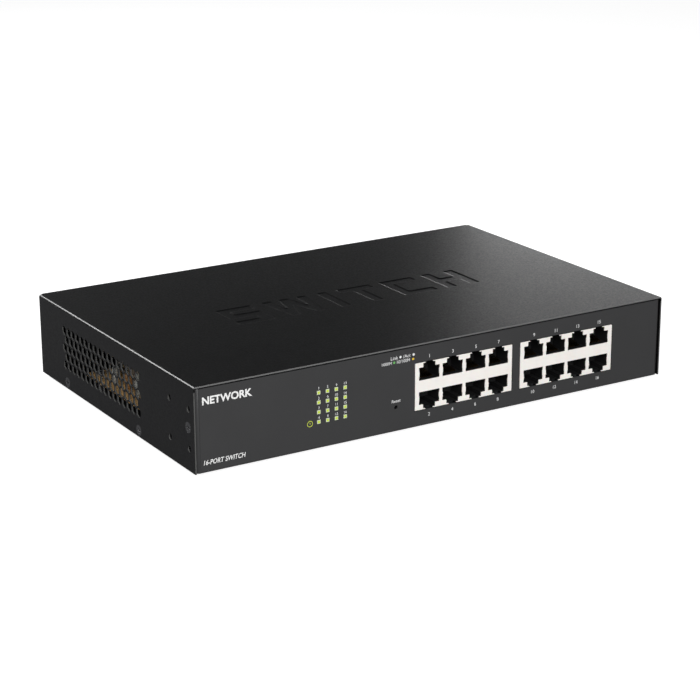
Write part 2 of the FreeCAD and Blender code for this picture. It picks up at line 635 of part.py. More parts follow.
# Ports.
def port_outline(left, upper, nib="0"):
    """Jack opening with its latch step; nib is how far each side wall swells inward."""
    base = port_floor(upper)
    sign = "+" if upper else "-"
    right = f"({left} + port_width)"
    step_left = f"{left} + (port_width - port_step_width) / 2"
    step_right = f"{left} + (port_width + port_step_width) / 2"
    levels = [f"{base} {sign} port_height * {share}" for share in (0.24, 0.36, 0.66, 0.78)]
    main = f"{base} {sign} port_height"
    step = f"{base} {sign} (port_height + port_step)"
    ends = [(left, base), (left, main), (step_left, main), (step_left, step), (step_right, step),
            (step_right, main), (right, main), (right, base)]
    if nib == "0":
        return outline(ends)
    insets = ["0", nib, nib, "0"]
    left_side = [(f"{left} + {inset}", level) for inset, level in zip(insets, levels)]
    right_side = [(f"{right} - {inset}", level) for inset, level in zip(insets, reversed(levels))]
    return outline(ends[:1] + left_side + ends[1:7] + right_side + ends[7:])


def latch_outline(left, upper):
    """Narrow notch from the latch step out through the block's edge."""
    edge = f"{BLOCK_LOW} + block_height" if upper else BLOCK_LOW
    inner = f"{edge} - block_lip / 2" if upper else f"{edge} + block_lip / 2"
    middle = f"{left} + port_width / 2"
    low, high = (inner, edge) if upper else (edge, inner)
    return rectangle(f"{middle} - latch_width / 2", f"{middle} + latch_width / 2", low, high)


def make_port_block(side, left):
    """Black housing of eight jacks behind a cream face plate, with two pegs through the board."""
    section = rectangle(left, f"{left} + {BLOCK_WIDTH}", BLOCK_LOW, f"{BLOCK_LOW} + block_height")
    seat = f"({FRONT} + face_plate)"
    plate = new_body(f"jack_face_{side}")
    pad(plate, "XZ", FRONT, seat, section)
    cut_ports(plate, left, seat, seat, "nib")
    body = new_body(f"jack_block_{side}")
    pad(body, "XZ", seat, f"{FRONT} + block_depth", section)
    pad(body, "XY", BOARD_LOW, BOARD_TOP, *[circle(x, y, "peg_radius") for x, y in peg_spots(left)])
    cut_ports(body, left, f"{FRONT} + port_depth", f"{FRONT} + latch_depth", "0", start=seat)


def cut_ports(body, left, cavity_back, latch_back, nib, start=FRONT):
    """Cuts the eight jack openings and their latch notches, from a start to their backs."""
    first = f"({left} + block_wall)"
    for upper in (True, False):
        cavity = pocket(body, "XZ", start, cavity_back, port_outline(first, upper, nib))
        latch = pocket(body, "XZ", start, latch_back, latch_outline(first, upper))
        pattern(body, [cavity, latch], "X", "port_pitch", "4")


def peg_spots(left):
    along = f"{FRONT} + block_depth * 0.7"
    return [(f"{left} + {BLOCK_WIDTH} * 0.15", along), (f"{left} + {BLOCK_WIDTH} * 0.85", along)]


def port_floor(upper):
    """The side of a jack opening that is away from its latch."""
    return f"({BLOCK_LOW} + block_height - block_lip - port_height)" if upper else \
        f"({BLOCK_LOW} + block_lip + port_height)"


def make_carriers(side, left):
    """Black inserts that close the backs of the jacks and hold their contacts."""
    members = []
    for upper in (True, False):
        base = port_floor(upper)
        low, high = (base, f"{base} + port_height") if upper else (f"{base} - port_height", base)
        for column in range(4):
            start = f"({left} + block_wall + {column} * port_pitch)"
            members.append(block(f"carrier_{side}_{upper}_{column}", start, f"{start} + port_width",
                                 f"{FRONT} + port_depth - carrier", f"{FRONT} + port_depth", low, high,
                                 exported=False))
    group(f"contact_carriers_{side}", members)


def make_contacts(side, left):
    """Eight hairpin springs in each jack, sixty-four in a block."""
    body = new_body(f"jack_contacts_{side}")
    middle = f"({left} + block_wall + port_width / 2)"
    start = f"({middle} - 3.5 * contact_pitch - contact_width / 2)"
    back = f"({FRONT} + port_depth - carrier)"
    nose = f"({FRONT} + contact_front)"
    wires = []
    for upper in (True, False):
        base, sign = port_floor(upper), "+" if upper else "-"
        lift = f"{base} {sign} contact_thick / 2"
        wires.append(pad(body, "YZ", start, f"{start} + contact_width", outline([
            (back, lift), (nose, lift), (f"{nose} - contact_thick", f"{lift} {sign} contact_thick"),
            (nose, f"{lift} {sign} 2 * contact_thick"), (back, f"{lift} {sign} contact_rise"),
            (back, f"{lift} {sign} (contact_rise - contact_thick)"),
            (f"{nose} + 2 * contact_thick", f"{lift} {sign} contact_thick"),
            (back, f"{lift} {sign} contact_thick")])))
    pattern(body, wires, "X", "contact_pitch", "8", ("X", "port_pitch", "4"))


# Main board.
def make_main_board():
    """Circuit board with holes for its posts and the port blocks' pegs."""
    body = new_body("main_board")
    pad(body, "XY", BOARD_LOW, BOARD_TOP, rectangle(BOARD_LEFT, BOARD_RIGHT, BOARD_FRONT, BOARD_REAR))
    pocket(body, "XY", BOARD_LOW, BOARD_TOP, *[circle(x, y, "screw_thread") for x, y in main_posts()])
    pegs = [spot for left in block_lefts().values() for spot in peg_spots(left)]
    pocket(body, "XY", BOARD_LOW, BOARD_TOP, *[circle(x, y, "peg_radius + peg_clear") for x, y in pegs])


def make_posts(label, spots, low, high):
    """Tapped posts between the floor and a board."""
    body = new_body(label)
    pad(body, "XY", low, high, *[circle(x, y, "post_radius") for x, y in spots])
    pocket(body, "XY", low, high, *[circle(x, y, "screw_thread") for x, y in spots])


def make_board_parts():
    """Chips, magnetics, cans and coils that stand on the main board."""
    behind = f"({FRONT} + block_depth + magnetics_behind)"
    magnetics = []
    for side, left in block_lefts().items():
        for column in range(3):
            start = f"({left} + magnetic_margin + {column} * magnetic_pitch)"
            magnetics.append(block(f"magnetic_{side}_{column}", start, f"{start} + magnetic_width", behind,
                                   f"{behind} + magnetic_depth", BOARD_TOP, f"{BOARD_TOP} + magnetic_height",
                                   exported=False))
    group("port_magnetics", magnetics)
    middle_x, middle_y = "(blocks_middle + chip_shift)", f"({behind} + magnetic_depth + chip_behind)"
    chip_top = f"{BOARD_TOP} + chip_height"
    block("switch_chip", f"{middle_x} - chip_side / 2", f"{middle_x} + chip_side / 2",
          f"{middle_y} - chip_side / 2", f"{middle_y} + chip_side / 2", BOARD_TOP, chip_top)
    make_heatsink(middle_x, middle_y)
    phys = []
    for column in (-1, 1):
        centre = f"({middle_x} + {column} * (sink_side / 2 + phy_pitch / 2 + phy_gap))"
        phys.append(block(f"phy_{column}", f"{centre} - phy_side / 2", f"{centre} + phy_side / 2",
                          f"{middle_y} - phy_side / 2", f"{middle_y} + phy_side / 2", BOARD_TOP,
                          f"{BOARD_TOP} + phy_height", exported=False))
    group("phy_chips", phys)
    spare = f"({BOARD_LEFT} + small_left)"
    block("flash_chip", spare, f"{spare} + memory_width", middle_y, f"{middle_y} + memory_width", BOARD_TOP,
          f"{BOARD_TOP} + memory_height")
    crystal = f"({spare} + small_pitch)"
    block("clock_crystal", crystal, f"{crystal} + crystal_length", middle_y,
          f"{middle_y} + crystal_width", BOARD_TOP, f"{BOARD_TOP} + crystal_height")
    group("board_capacitors", [
        rod(f"can_{n}", f"{spare} + {n} * small_pitch", f"{middle_y} - can_front", BOARD_TOP, "can_radius",
            "can_height") for n in range(3)])
    group("power_inductors", [
        block(f"coil_{n}", f"{spare} + {n} * coil_pitch - coil_side / 2",
              f"{spare} + {n} * coil_pitch + coil_side / 2", f"{middle_y} + coil_behind",
              f"{middle_y} + coil_behind + coil_side", BOARD_TOP, f"{BOARD_TOP} + coil_height",
              exported=False) for n in range(2)])
    block("board_power_header", f"{BOARD_LEFT} + header_inset", f"{BOARD_LEFT} + header_inset + header_depth",
          f"{HEADER_Y} - header_width / 2", f"{HEADER_Y} + header_width / 2", BOARD_TOP,
          f"{BOARD_TOP} + header_height")




def make_heatsink(across, along):
    """Finned aluminium block on the switch chip."""
    body = new_body("switch_heatsink")
    low = f"({BOARD_TOP} + chip_height)"
    left = f"({across} - sink_side / 2)"
    pad(body, "XZ", f"{along} - sink_side / 2", f"{along} + sink_side / 2",
        rectangle(left, f"{left} + sink_side", low, f"{low} + sink_height"))
    slot = pocket(body, "XZ", f"{along} - sink_side / 2", f"{along} + sink_side / 2",
                  rectangle(f"{left} + fin", f"{left} + fin_pitch", f"{low} + sink_base",
                            f"{low} + sink_height"))
    pattern(body, [slot], "X", "fin_pitch", "floor((sink_side - fin) / fin_pitch)")


# Lamps.
def make_lamps():
    """Sixteen square lamps, their holder, their bent leads and the power lamp."""
    body = new_body("led_lenses")
    lens = pad(body, "XZ", f"{FILM} + lamp_recess", LENS_BACK, lamp_square("lamp_side / 2"))
    pattern(body, [lens], "X", "lamp_pitch", "4", ("Z", "lamp_pitch", "4"))
    front = f"({INSIDE} + holder_gap)"
    back = f"({front} + holder_depth)"
    holder = new_body("led_holder")
    left = f"({LAMP_X} - power_left - power_radius - 1)"
    pad(holder, "XZ", front, back, rectangle(left, f"{LAMP_X} + 3 * lamp_pitch + holder_wall", BOARD_TOP,
                                             f"{LAMP_Z} + 3 * lamp_pitch + holder_wall"))
    channel = pocket(holder, "XZ", front, back, lamp_square("lamp_side / 2"))
    pattern(holder, [channel], "X", "lamp_pitch", "4", ("Z", "lamp_pitch", "4"))
    pocket(holder, "XZ", front, back, circle(f"{LAMP_X} - power_left", LAMP_Z, "power_radius"))
    pipe = turned_rod("power_light_pipe", f"{LAMP_X} - power_left", PANEL, LAMP_Z, "power_radius",
                      f"{back} - {PANEL}", (0, 1, 0))
    piece(pipe, "power_light_pipe")
    make_lamp_leads()


def make_lamp_leads():
    """Two wires from the back of each lamp, bent down to the board."""
    body = new_body("led_leads")
    start = f"({LAMP_X} - lead_pitch / 2 - lead_side / 2)"
    wires = []
    for row in range(4):
        up = f"({LAMP_Z} + {row} * lamp_pitch)"
        reach = f"({LENS_BACK} + lead_reach + {row} * lead_row_step)"
        wires.append(pad(body, "YZ", start, f"{start} + lead_side", outline([
            (LENS_BACK, f"{up} - lead_side / 2"), (f"{reach} - lead_side", f"{up} - lead_side / 2"),
            (f"{reach} - lead_side", BOARD_TOP), (reach, BOARD_TOP), (reach, f"{up} + lead_side / 2"),
            (LENS_BACK, f"{up} + lead_side / 2")])))
    pattern(body, wires, "X", "lamp_pitch", "4", ("X", "lead_pitch", "2"))


# Reset switch.
def make_reset_switch():
    """Push switch behind the pin hole: base, metal frame, dome and the plunger that moves."""
    half = "(reset_side / 2)"
    bore_back = f"({RESET_FRONT} + plunger_in + plunger_travel + 2 * dome)"
    base = new_body("reset_switch_body")
    pad(base, "XZ", RESET_FRONT, f"{RESET_FRONT} + reset_deep",
        rectangle(f"{RESET_X} - {half}", f"{RESET_X} + {half}", BOARD_TOP, f"{RESET_Z} + {half}"))
    pocket(base, "XZ", RESET_FRONT, bore_back, circle(RESET_X, RESET_Z, "plunger_radius + plunger_fit"))
    frame = new_body("reset_switch_frame")
    pad(frame, "XZ", f"{RESET_FRONT} - frame_thick", RESET_FRONT,
        rectangle(f"{RESET_X} - {half}", f"{RESET_X} + {half}", BOARD_TOP, f"{RESET_Z} + {half}"))
    pocket(frame, "XZ", f"{RESET_FRONT} - frame_thick", RESET_FRONT,
           circle(RESET_X, RESET_Z, "plunger_radius + plunger_fit"))
    dome = turned_rod("reset_dome", RESET_X, f"{bore_back} - dome", RESET_Z, "plunger_radius", "dome",
                      (0, 1, 0))
    piece(dome, "reset_dome")
    plunger = turned_rod("reset_plunger", RESET_X, f"{RESET_FRONT} - plunger_out", RESET_Z,
                         "plunger_radius", "plunger_out + plunger_in", (0, 1, 0))
    piece(plunger, "reset_plunger")


# Power supply.
def make_supply():
    """Mains power supply on its own board, between the left side and the main board."""
    block("psu_insulator", f"{SUPPLY_LEFT} - 1", f"{SUPPLY_RIGHT} + 1", f"{SUPPLY_FRONT} - 1",
          f"{SUPPLY_REAR} + 1", FLOOR, f"{FLOOR} + film_under")
    body = new_body("psu_board")
    pad(body, "XY", SUPPLY_LOW, SUPPLY_TOP, rectangle(SUPPLY_LEFT, SUPPLY_RIGHT, SUPPLY_FRONT, SUPPLY_REAR))
    pocket(body, "XY", SUPPLY_LOW, SUPPLY_TOP, *[circle(x, y, "screw_thread") for x, y in supply_posts()])
    make_posts("psu_standoffs", supply_posts(), f"{FLOOR} + film_under", SUPPLY_LOW)
    copies("psu_screws", PAN, [(x, y, SUPPLY_TOP) for x, y in supply_posts()], (0, 0, 1))
    make_mains_side()
    make_transformer()
    make_output_side()


def make_mains_side():
    """Header, fuse, suppression parts and bulk capacitor near the rear edge."""
    block("mains_header", MAINS_X, f"{MAINS_X} + header_width", f"{SUPPLY_REAR} - header_depth - part_gap",
          f"{SUPPLY_REAR} - part_gap", SUPPLY_TOP, f"{SUPPLY_TOP} + header_height")
    across, along = f"({SUPPLY_LEFT} + fuse_left)", f"({SUPPLY_REAR} - fuse_back)"
    up = f"({SUPPLY_TOP} + fuse_radius + 2 * clip_wall)"
    fuse = turned_rod("fuse_tube", across, along, up, "fuse_radius", "fuse_length", (1, 0, 0))
    piece(fuse, "fuse_tube")
    clips = []
    for n, start in enumerate((across, f"{across} + fuse_length - fuse_cap")):
        clip = block(f"clip_{n}", start, f"{start} + fuse_cap", f"{along} - fuse_radius - clip_wall",
                     f"{along} + fuse_radius + clip_wall", SUPPLY_TOP, f"{up} + fuse_radius * 0.6",
                     exported=False)
        seat = turned_rod(f"clip_seat_{n}", start, along, up, "fuse_radius", "fuse_cap", (1, 0, 0))
        clips.append(cut(f"clip_cut_{n}", clip, seat, exported=False))
    group("fuse_clips", clips)
    start = f"({SUPPLY_RIGHT} - x_cap_right)"
    block("x_capacitor", f"{start} - x_cap_depth", start, f"{SUPPLY_REAR} - x_cap_back - x_cap_width",
          f"{SUPPLY_REAR} - x_cap_back", SUPPLY_TOP, f"{SUPPLY_TOP} + x_cap_height")
    left, front = f"({SUPPLY_RIGHT} - choke_right)", f"({SUPPLY_REAR} - choke_back)"
    choke = block("choke_core", left, f"{left} + choke_side", front, f"{front} + choke_side * 0.9",
                  SUPPLY_TOP, f"{SUPPLY_TOP} + choke_height", exported=False)
    window = block("choke_window", f"{left} + (choke_side - choke_hole) / 2",
                   f"{left} + (choke_side + choke_hole) / 2", front, f"{front} + choke_side * 0.9",
                   f"{SUPPLY_TOP} + choke_yoke", f"{SUPPLY_TOP} + choke_height - choke_yoke", exported=False)
    cut("common_mode_choke", choke, window)
    rod("bulk_capacitor", f"{SUPPLY_RIGHT} - cap_radius - cap_right",
        f"{SUPPLY_REAR} - cap_back - cap_radius", SUPPLY_TOP, "cap_radius", "cap_height", exported=True)


def make_transformer():
    """Ferrite core around a taped winding, and the switching transistor on its plate."""
    left, front = f"({SUPPLY_LEFT} + core_left)", f"({SUPPLY_FRONT} + core_front)"
    right, back = f"({left} + core_width)", f"({front} + core_depth)"
    tall = f"({SUPPLY_TOP} + core_height)"
    core = block("core_block", left, right, f"{front} + core_depth * 0.2", f"{back} - core_depth * 0.2",
                 SUPPLY_TOP, tall, exported=False)
    low = f"({SUPPLY_TOP} + (core_height - winding_height) / 2)"
    high = f"({low} + winding_height)"
    window = block("core_window", f"{left} + core_leg", f"{right} - core_leg", front, back, low, high,
                   exported=False)
    cut("transformer_core", core, window)
    block("transformer_winding", f"{left} + core_leg", f"{right} - core_leg", f"{front} - winding_out",
          f"{back} + winding_out", low, high)
    side, start = f"({SUPPLY_LEFT} + plate_left)", f"({back} + winding_out + 1)"
    block("switching_heatsink", side, f"{side} + plate", start, f"{start} + plate_length", SUPPLY_TOP,
          f"{SUPPLY_TOP} + plate_height")
    middle = f"({start} + plate_length / 2)"
    block("switching_transistor", f"{side} + plate", f"{side} + plate + chip_deep",
          f"{middle} - chip_wide / 2", f"{middle} + chip_wide / 2", f"{SUPPLY_TOP} + chip_foot",
          f"{SUPPLY_TOP} + chip_foot + chip_tall")


def make_output_side():
    """Output cans and coil, header and the leads to the main board."""
    along = f"({SUPPLY_FRONT} + out_can_front)"
    group("output_capacitors", [
        rod(f"out_can_{n}", f"{SUPPLY_LEFT} + out_can_left + {n} * out_can_pitch", along, SUPPLY_TOP,
            "out_can_radius", "out_can_height") for n in range(3)])
    edge = f"({SUPPLY_RIGHT} - header_inset / 2)"
    block("psu_output_header", f"{edge} - header_depth", edge,
          f"{HEADER_Y} - header_width / 2", f"{HEADER_Y} + header_width / 2", SUPPLY_TOP,
          f"{SUPPLY_TOP} + header_height")
    start, goal = f"{edge} - header_depth / 2", f"{BOARD_LEFT} + header_inset + header_depth / 2"
    plug_top = f"({SUPPLY_TOP} + header_height)"
    leads = []
    for n in range(4):
        along = f"({HEADER_Y} + ({n} - 1.5) * header_width / 4)"
        leads.append(tube([(start, along, plug_top), (start, along, f"{plug_top} + dc_rise"),
                           (goal, along, f"{plug_top} + dc_rise"),
                           (goal, along, f"{BOARD_TOP} + header_height")], "dc_lead_radius"))
    piece(shaped("dc_cable", Part.makeCompound(leads)), "dc_cable")


# Leads: straight runs joined by tangent arcs.
def tube(route, radius):
    """A round lead along a route; each bend is as large as its two runs allow."""
    spots = [point(*spot) for spot in route]
    edges, here = [], spots[0]
    for before, corner, after in zip(spots, spots[1:], spots[2:]):
        reach = 0.45 * min((before - corner).Length, (after - corner).Length)
        start, crown, finish = bend(before, corner, after, reach)
        edges.append(Part.LineSegment(here, start).toShape())
        edges.append(Part.Arc(start, crown, finish).toShape())
        here = finish
    edges.append(Part.LineSegment(here, spots[-1]).toShape())
    size = value(radius)
    ring = Part.Wire(Part.Circle(spots[0], spots[1] - spots[0], size).toShape())
    path = Part.Wire(edges)
    solid = path.makePipeShell([ring], True, True)
    expected = math.pi * size ** 2 * path.Length
    if abs(solid.Volume - expected) > 0.02 * expected:
        raise ValueError(f"lead volume {solid.Volume:.1f} is not {expected:.1f}")
    return solid


def shaped(name, shape):
    feature = DOC.addObject("Part::Feature", name)
    feature.Shape = shape
    return feature


# Inlet and earth.
def make_inlet():
    """Mains inlet screwed to the rear wall, with three blades."""
    body = new_body("ac_inlet")
    behind = f"({REAR} + flange_thick)"
    deep = f"({REAR} - inlet_deep)"
    pad(body, "XZ", REAR, behind, inlet_square("flange_width / 2", "flange_tall / 2"))
    pad(body, "XZ", deep, REAR, inlet_square("inlet_width / 2", "inlet_height / 2"))
    half_w, half_h = "cavity_width / 2", "cavity_height / 2"
    pocket(body, "XZ", f"{behind} - cavity_deep", behind, outline([
        (f"{INLET_X} - {half_w}", f"{INLET_Z} - {half_h}"),
        (f"{INLET_X} + {half_w}", f"{INLET_Z} - {half_h}"),
        (f"{INLET_X} + {half_w}", f"{INLET_Z} + {half_h} - cavity_cut"),
        (f"{INLET_X} + {half_w} - cavity_cut", f"{INLET_Z} + {half_h}"),
        (f"{INLET_X} - {half_w} + cavity_cut", f"{INLET_Z} + {half_h}"),
        (f"{INLET_X} - {half_w}", f"{INLET_Z} + {half_h} - cavity_cut")]))
    pocket(body, "XZ", deep, behind, *[blade_square(x, z) for x, z in blade_spots()])
    sketch = sketch_on(body, "XZ", behind, [circle(x, z, "screw_head") for x, z in inlet_screw_spots()])
    DOC.recompute()
    sink = body.newObject("PartDesign::Pocket", "ac_inlet_sink")
    sink.Profile = sketch
    bind(sink, "Length", "screw_head - screw_thread")
    sink.TaperAngle = -45
    sink.Reversed = True
    DOC.recompute()
    pocket(body, "XZ", REAR, behind, *[circle(x, z, "screw_thread") for x, z in inlet_screw_spots()])
    blades = new_body("inlet_blades")
    pad(blades, "XZ", f"{deep} - blade_tail", f"{behind} - cavity_deep + blade_long",
        *[blade_square(x, z) for x, z in blade_spots()])
    copies("inlet_screws", FLAT, [(x, behind, z) for x, z in inlet_screw_spots()], (0, 1, 0))


def blade_spots():
    """Line and neutral side by side, earth between them and higher."""
    return [(f"({INLET_X} - blade_side)", f"({INLET_Z} - blade_drop)"),
            (f"({INLET_X} + blade_side)", f"({INLET_Z} - blade_drop)"),
            (INLET_X, f"({INLET_Z} + blade_drop)")]


def blade_square(across, up):
    return rectangle(f"{across} - blade_thick / 2", f"{across} + blade_thick / 2",
                     f"{up} - blade_tall / 2", f"{up} + blade_tall / 2")


def make_leads():
    """Line and neutral leads to the supply, and the earth lead to the floor."""
    tail = f"({REAR} - inlet_deep - blade_tail)"
    straight = f"({tail} - lead_start)"
    along = f"({SUPPLY_REAR} - header_depth / 2 - part_gap)"
    top = f"({SUPPLY_TOP} + header_height)"
    mains = []
    for share, (x, z) in zip((0.3, 0.7), blade_spots()):
        goal = f"({MAINS_X} + header_width * {share})"
        mains.append(tube([(x, tail, z), (x, straight, z), (goal, f"{along} + 1", f"{z} + lead_start"),
                           (goal, along, f"{top} + lead_start"), (goal, along, top)], "lead_radius"))
    piece(shaped("mains_leads", Part.makeCompound(mains)), "mains_leads")
    x, z = blade_spots()[2]
    stud_x, stud_y = f"({INLET_X} + earth_out)", f"({tail} + lug_width / 2)"
    lug_top = f"({FLOOR} + lug_thick)"
    crimp = f"({stud_y} - lug_length * 0.6)"
    between = (f"({x} + {stud_x}) / 2", f"{straight} - 1", f"{z} + lead_start")
    route = [(x, tail, z), (x, straight, z), between, (stud_x, crimp, f"{lug_top} + 8"),
             (stud_x, crimp, lug_top)]
    piece(shaped("earth_lead", tube(route, "lead_radius")), "earth_lead")
    lug = block("lug_strip", f"{stud_x} - lug_width / 2", f"{stud_x} + lug_width / 2",
                f"{stud_y} - lug_length * 0.75", f"{stud_y} + lug_length * 0.25", FLOOR, lug_top,
                exported=False)
    hole = rod("lug_hole", stud_x, stud_y, FLOOR, "screw_thread", "lug_thick")
    cut("earth_lug", lug, hole)
    copies("earth_screws", SHORT, [(stud_x, stud_y, lug_top)], (0, 0, 1))


def short_screw():
    """Short pan-head screw whose shank ends inside the earth lug."""
    body = new_body("short_screw_master", exported=False)
    spin(body, [("0", "pan_height"), ("pan_head * 0.7", "pan_height"), ("pan_head", "pan_height * 0.6"),
                ("pan_head", "0"), ("screw_thread", "0"), ("screw_thread", "-lug_thick"),
                ("0", "-lug_thick")])
    return body


def check_document():
    """Stops if any feature failed, a pocket cut nothing, or a sub-part is not a valid solid."""
    DOC.recompute()
    for item in DOC.Objects:
        if any(state in ("Invalid", "Error") for state in item.State):
            raise RuntimeError(f"{item.Label} failed: {item.State}")
        if item.TypeId == "PartDesign::Pocket" and item.BaseFeature:
            if item.Shape.Volume > item.BaseFeature.Shape.Volume - 1e-6:
                raise RuntimeError(f"{item.Label} ({item.Name}) cut nothing")
    for item in PIECES:
        if item.Shape.isNull() or not item.Shape.isValid() or not item.Shape.Solids:
            raise RuntimeError(f"{item.Label} has no valid solid")


def export_pieces():
    os.makedirs("parts", exist_ok=True)
    for item in PIECES:
        item.Shape.exportStep(f"parts/{item.Label}.step")
        print(f"{item.Label}: {len(item.Shape.Solids)} solids, {item.Shape.Volume:.1f} mm3")


FLAT = flat_screw()
PAN = pan_screw()
NUT = clinch_nut()
SHORT = short_screw()
make_chassis()
make_cover()
make_film()
make_feet()
make_case_fasteners()
make_main_board()
make_posts("board_standoffs", main_posts(), FLOOR, BOARD_LOW)
copies("board_screws", PAN, [(x, y, BOARD_TOP) for x, y in main_posts()], (0, 0, 1))
for block_side, block_left in block_lefts().items():
    make_port_block(block_side, block_left)
    make_carriers(block_side, block_left)
    make_contacts(block_side, block_left)
make_board_parts()
make_lamps()
make_reset_switch()
make_supply()
make_inlet()
make_leads()
copies("ground_screw", PAN, [("ground_right", REAR, "foot_height + ground_up")], (0, 1, 0))
check_document()
export_pieces()
print(len(PIECES), "sub-parts")
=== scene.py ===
"""Looks of a desktop network switch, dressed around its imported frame.

Everything is in metres, in the frame's own axes: +X to the right as seen from the ports,
+Y to the back and +Z up. Each sub-assembly is a class, and each finish a small frozen class.
"""

import logging
import math
from dataclasses import dataclass
from enum import Enum
from typing import Iterable, Sequence

import bmesh
import bpy
import numpy as np
from mathutils import Matrix, Vector


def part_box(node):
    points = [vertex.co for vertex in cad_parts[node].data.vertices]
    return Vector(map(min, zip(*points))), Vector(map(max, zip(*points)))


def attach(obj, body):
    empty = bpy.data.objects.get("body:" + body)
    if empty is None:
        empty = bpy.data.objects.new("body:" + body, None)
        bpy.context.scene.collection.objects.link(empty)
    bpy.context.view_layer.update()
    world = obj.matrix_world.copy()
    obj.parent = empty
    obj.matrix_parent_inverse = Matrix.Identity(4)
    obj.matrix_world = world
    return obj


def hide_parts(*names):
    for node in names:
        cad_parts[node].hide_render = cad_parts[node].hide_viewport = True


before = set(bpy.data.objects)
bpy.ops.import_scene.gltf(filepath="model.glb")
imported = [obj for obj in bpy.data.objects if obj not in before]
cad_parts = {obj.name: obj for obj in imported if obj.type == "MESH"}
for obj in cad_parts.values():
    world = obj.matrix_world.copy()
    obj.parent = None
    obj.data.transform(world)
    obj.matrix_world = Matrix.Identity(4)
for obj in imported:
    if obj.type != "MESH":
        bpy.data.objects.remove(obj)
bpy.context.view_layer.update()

MM = 0.001
BODY = "case"
LOG = logging.getLogger("network_switch")

# Faces of the lid that some finishes are set out from.
LID_LOW, LID_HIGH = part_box("top_cover")
LID_SIDE = LID_HIGH.x
LID_FRONT = LID_LOW.y
LID_TOP = LID_HIGH.z

# Four by four lamps, and two blocks of four columns of two jacks.
LAMP_PITCH = 5 * MM
LAMP_ROWS = 4
PORT_COLUMNS = 4

# How a copy of a node is cleaned and its edges rounded.
MERGE_WITHIN = 0.001 * MM
FLAT_WITHIN = math.radians(0.6)
ROUND_ABOVE = math.radians(35)
ROUND_SEGMENTS = 2

# Added to a divisor that may be nought.
TINY = 1e-12

# Usual range of a noise's value.
NOISE_LOW = 0.3
NOISE_HIGH = 0.7

Colour = tuple[float, float, float]
Socket = bpy.types.NodeSocket
Value = float | Socket


class Axis(Enum):
    """One direction of the frame."""

    X = 0
    Y = 1
    Z = 2


class Anchor(Enum):
    """Which part of a line of lettering stands on its given place."""

    LEFT = 0.0
    MIDDLE = 0.5


# ---------------------------------------------------------------------------
# Node patterns
# ---------------------------------------------------------------------------


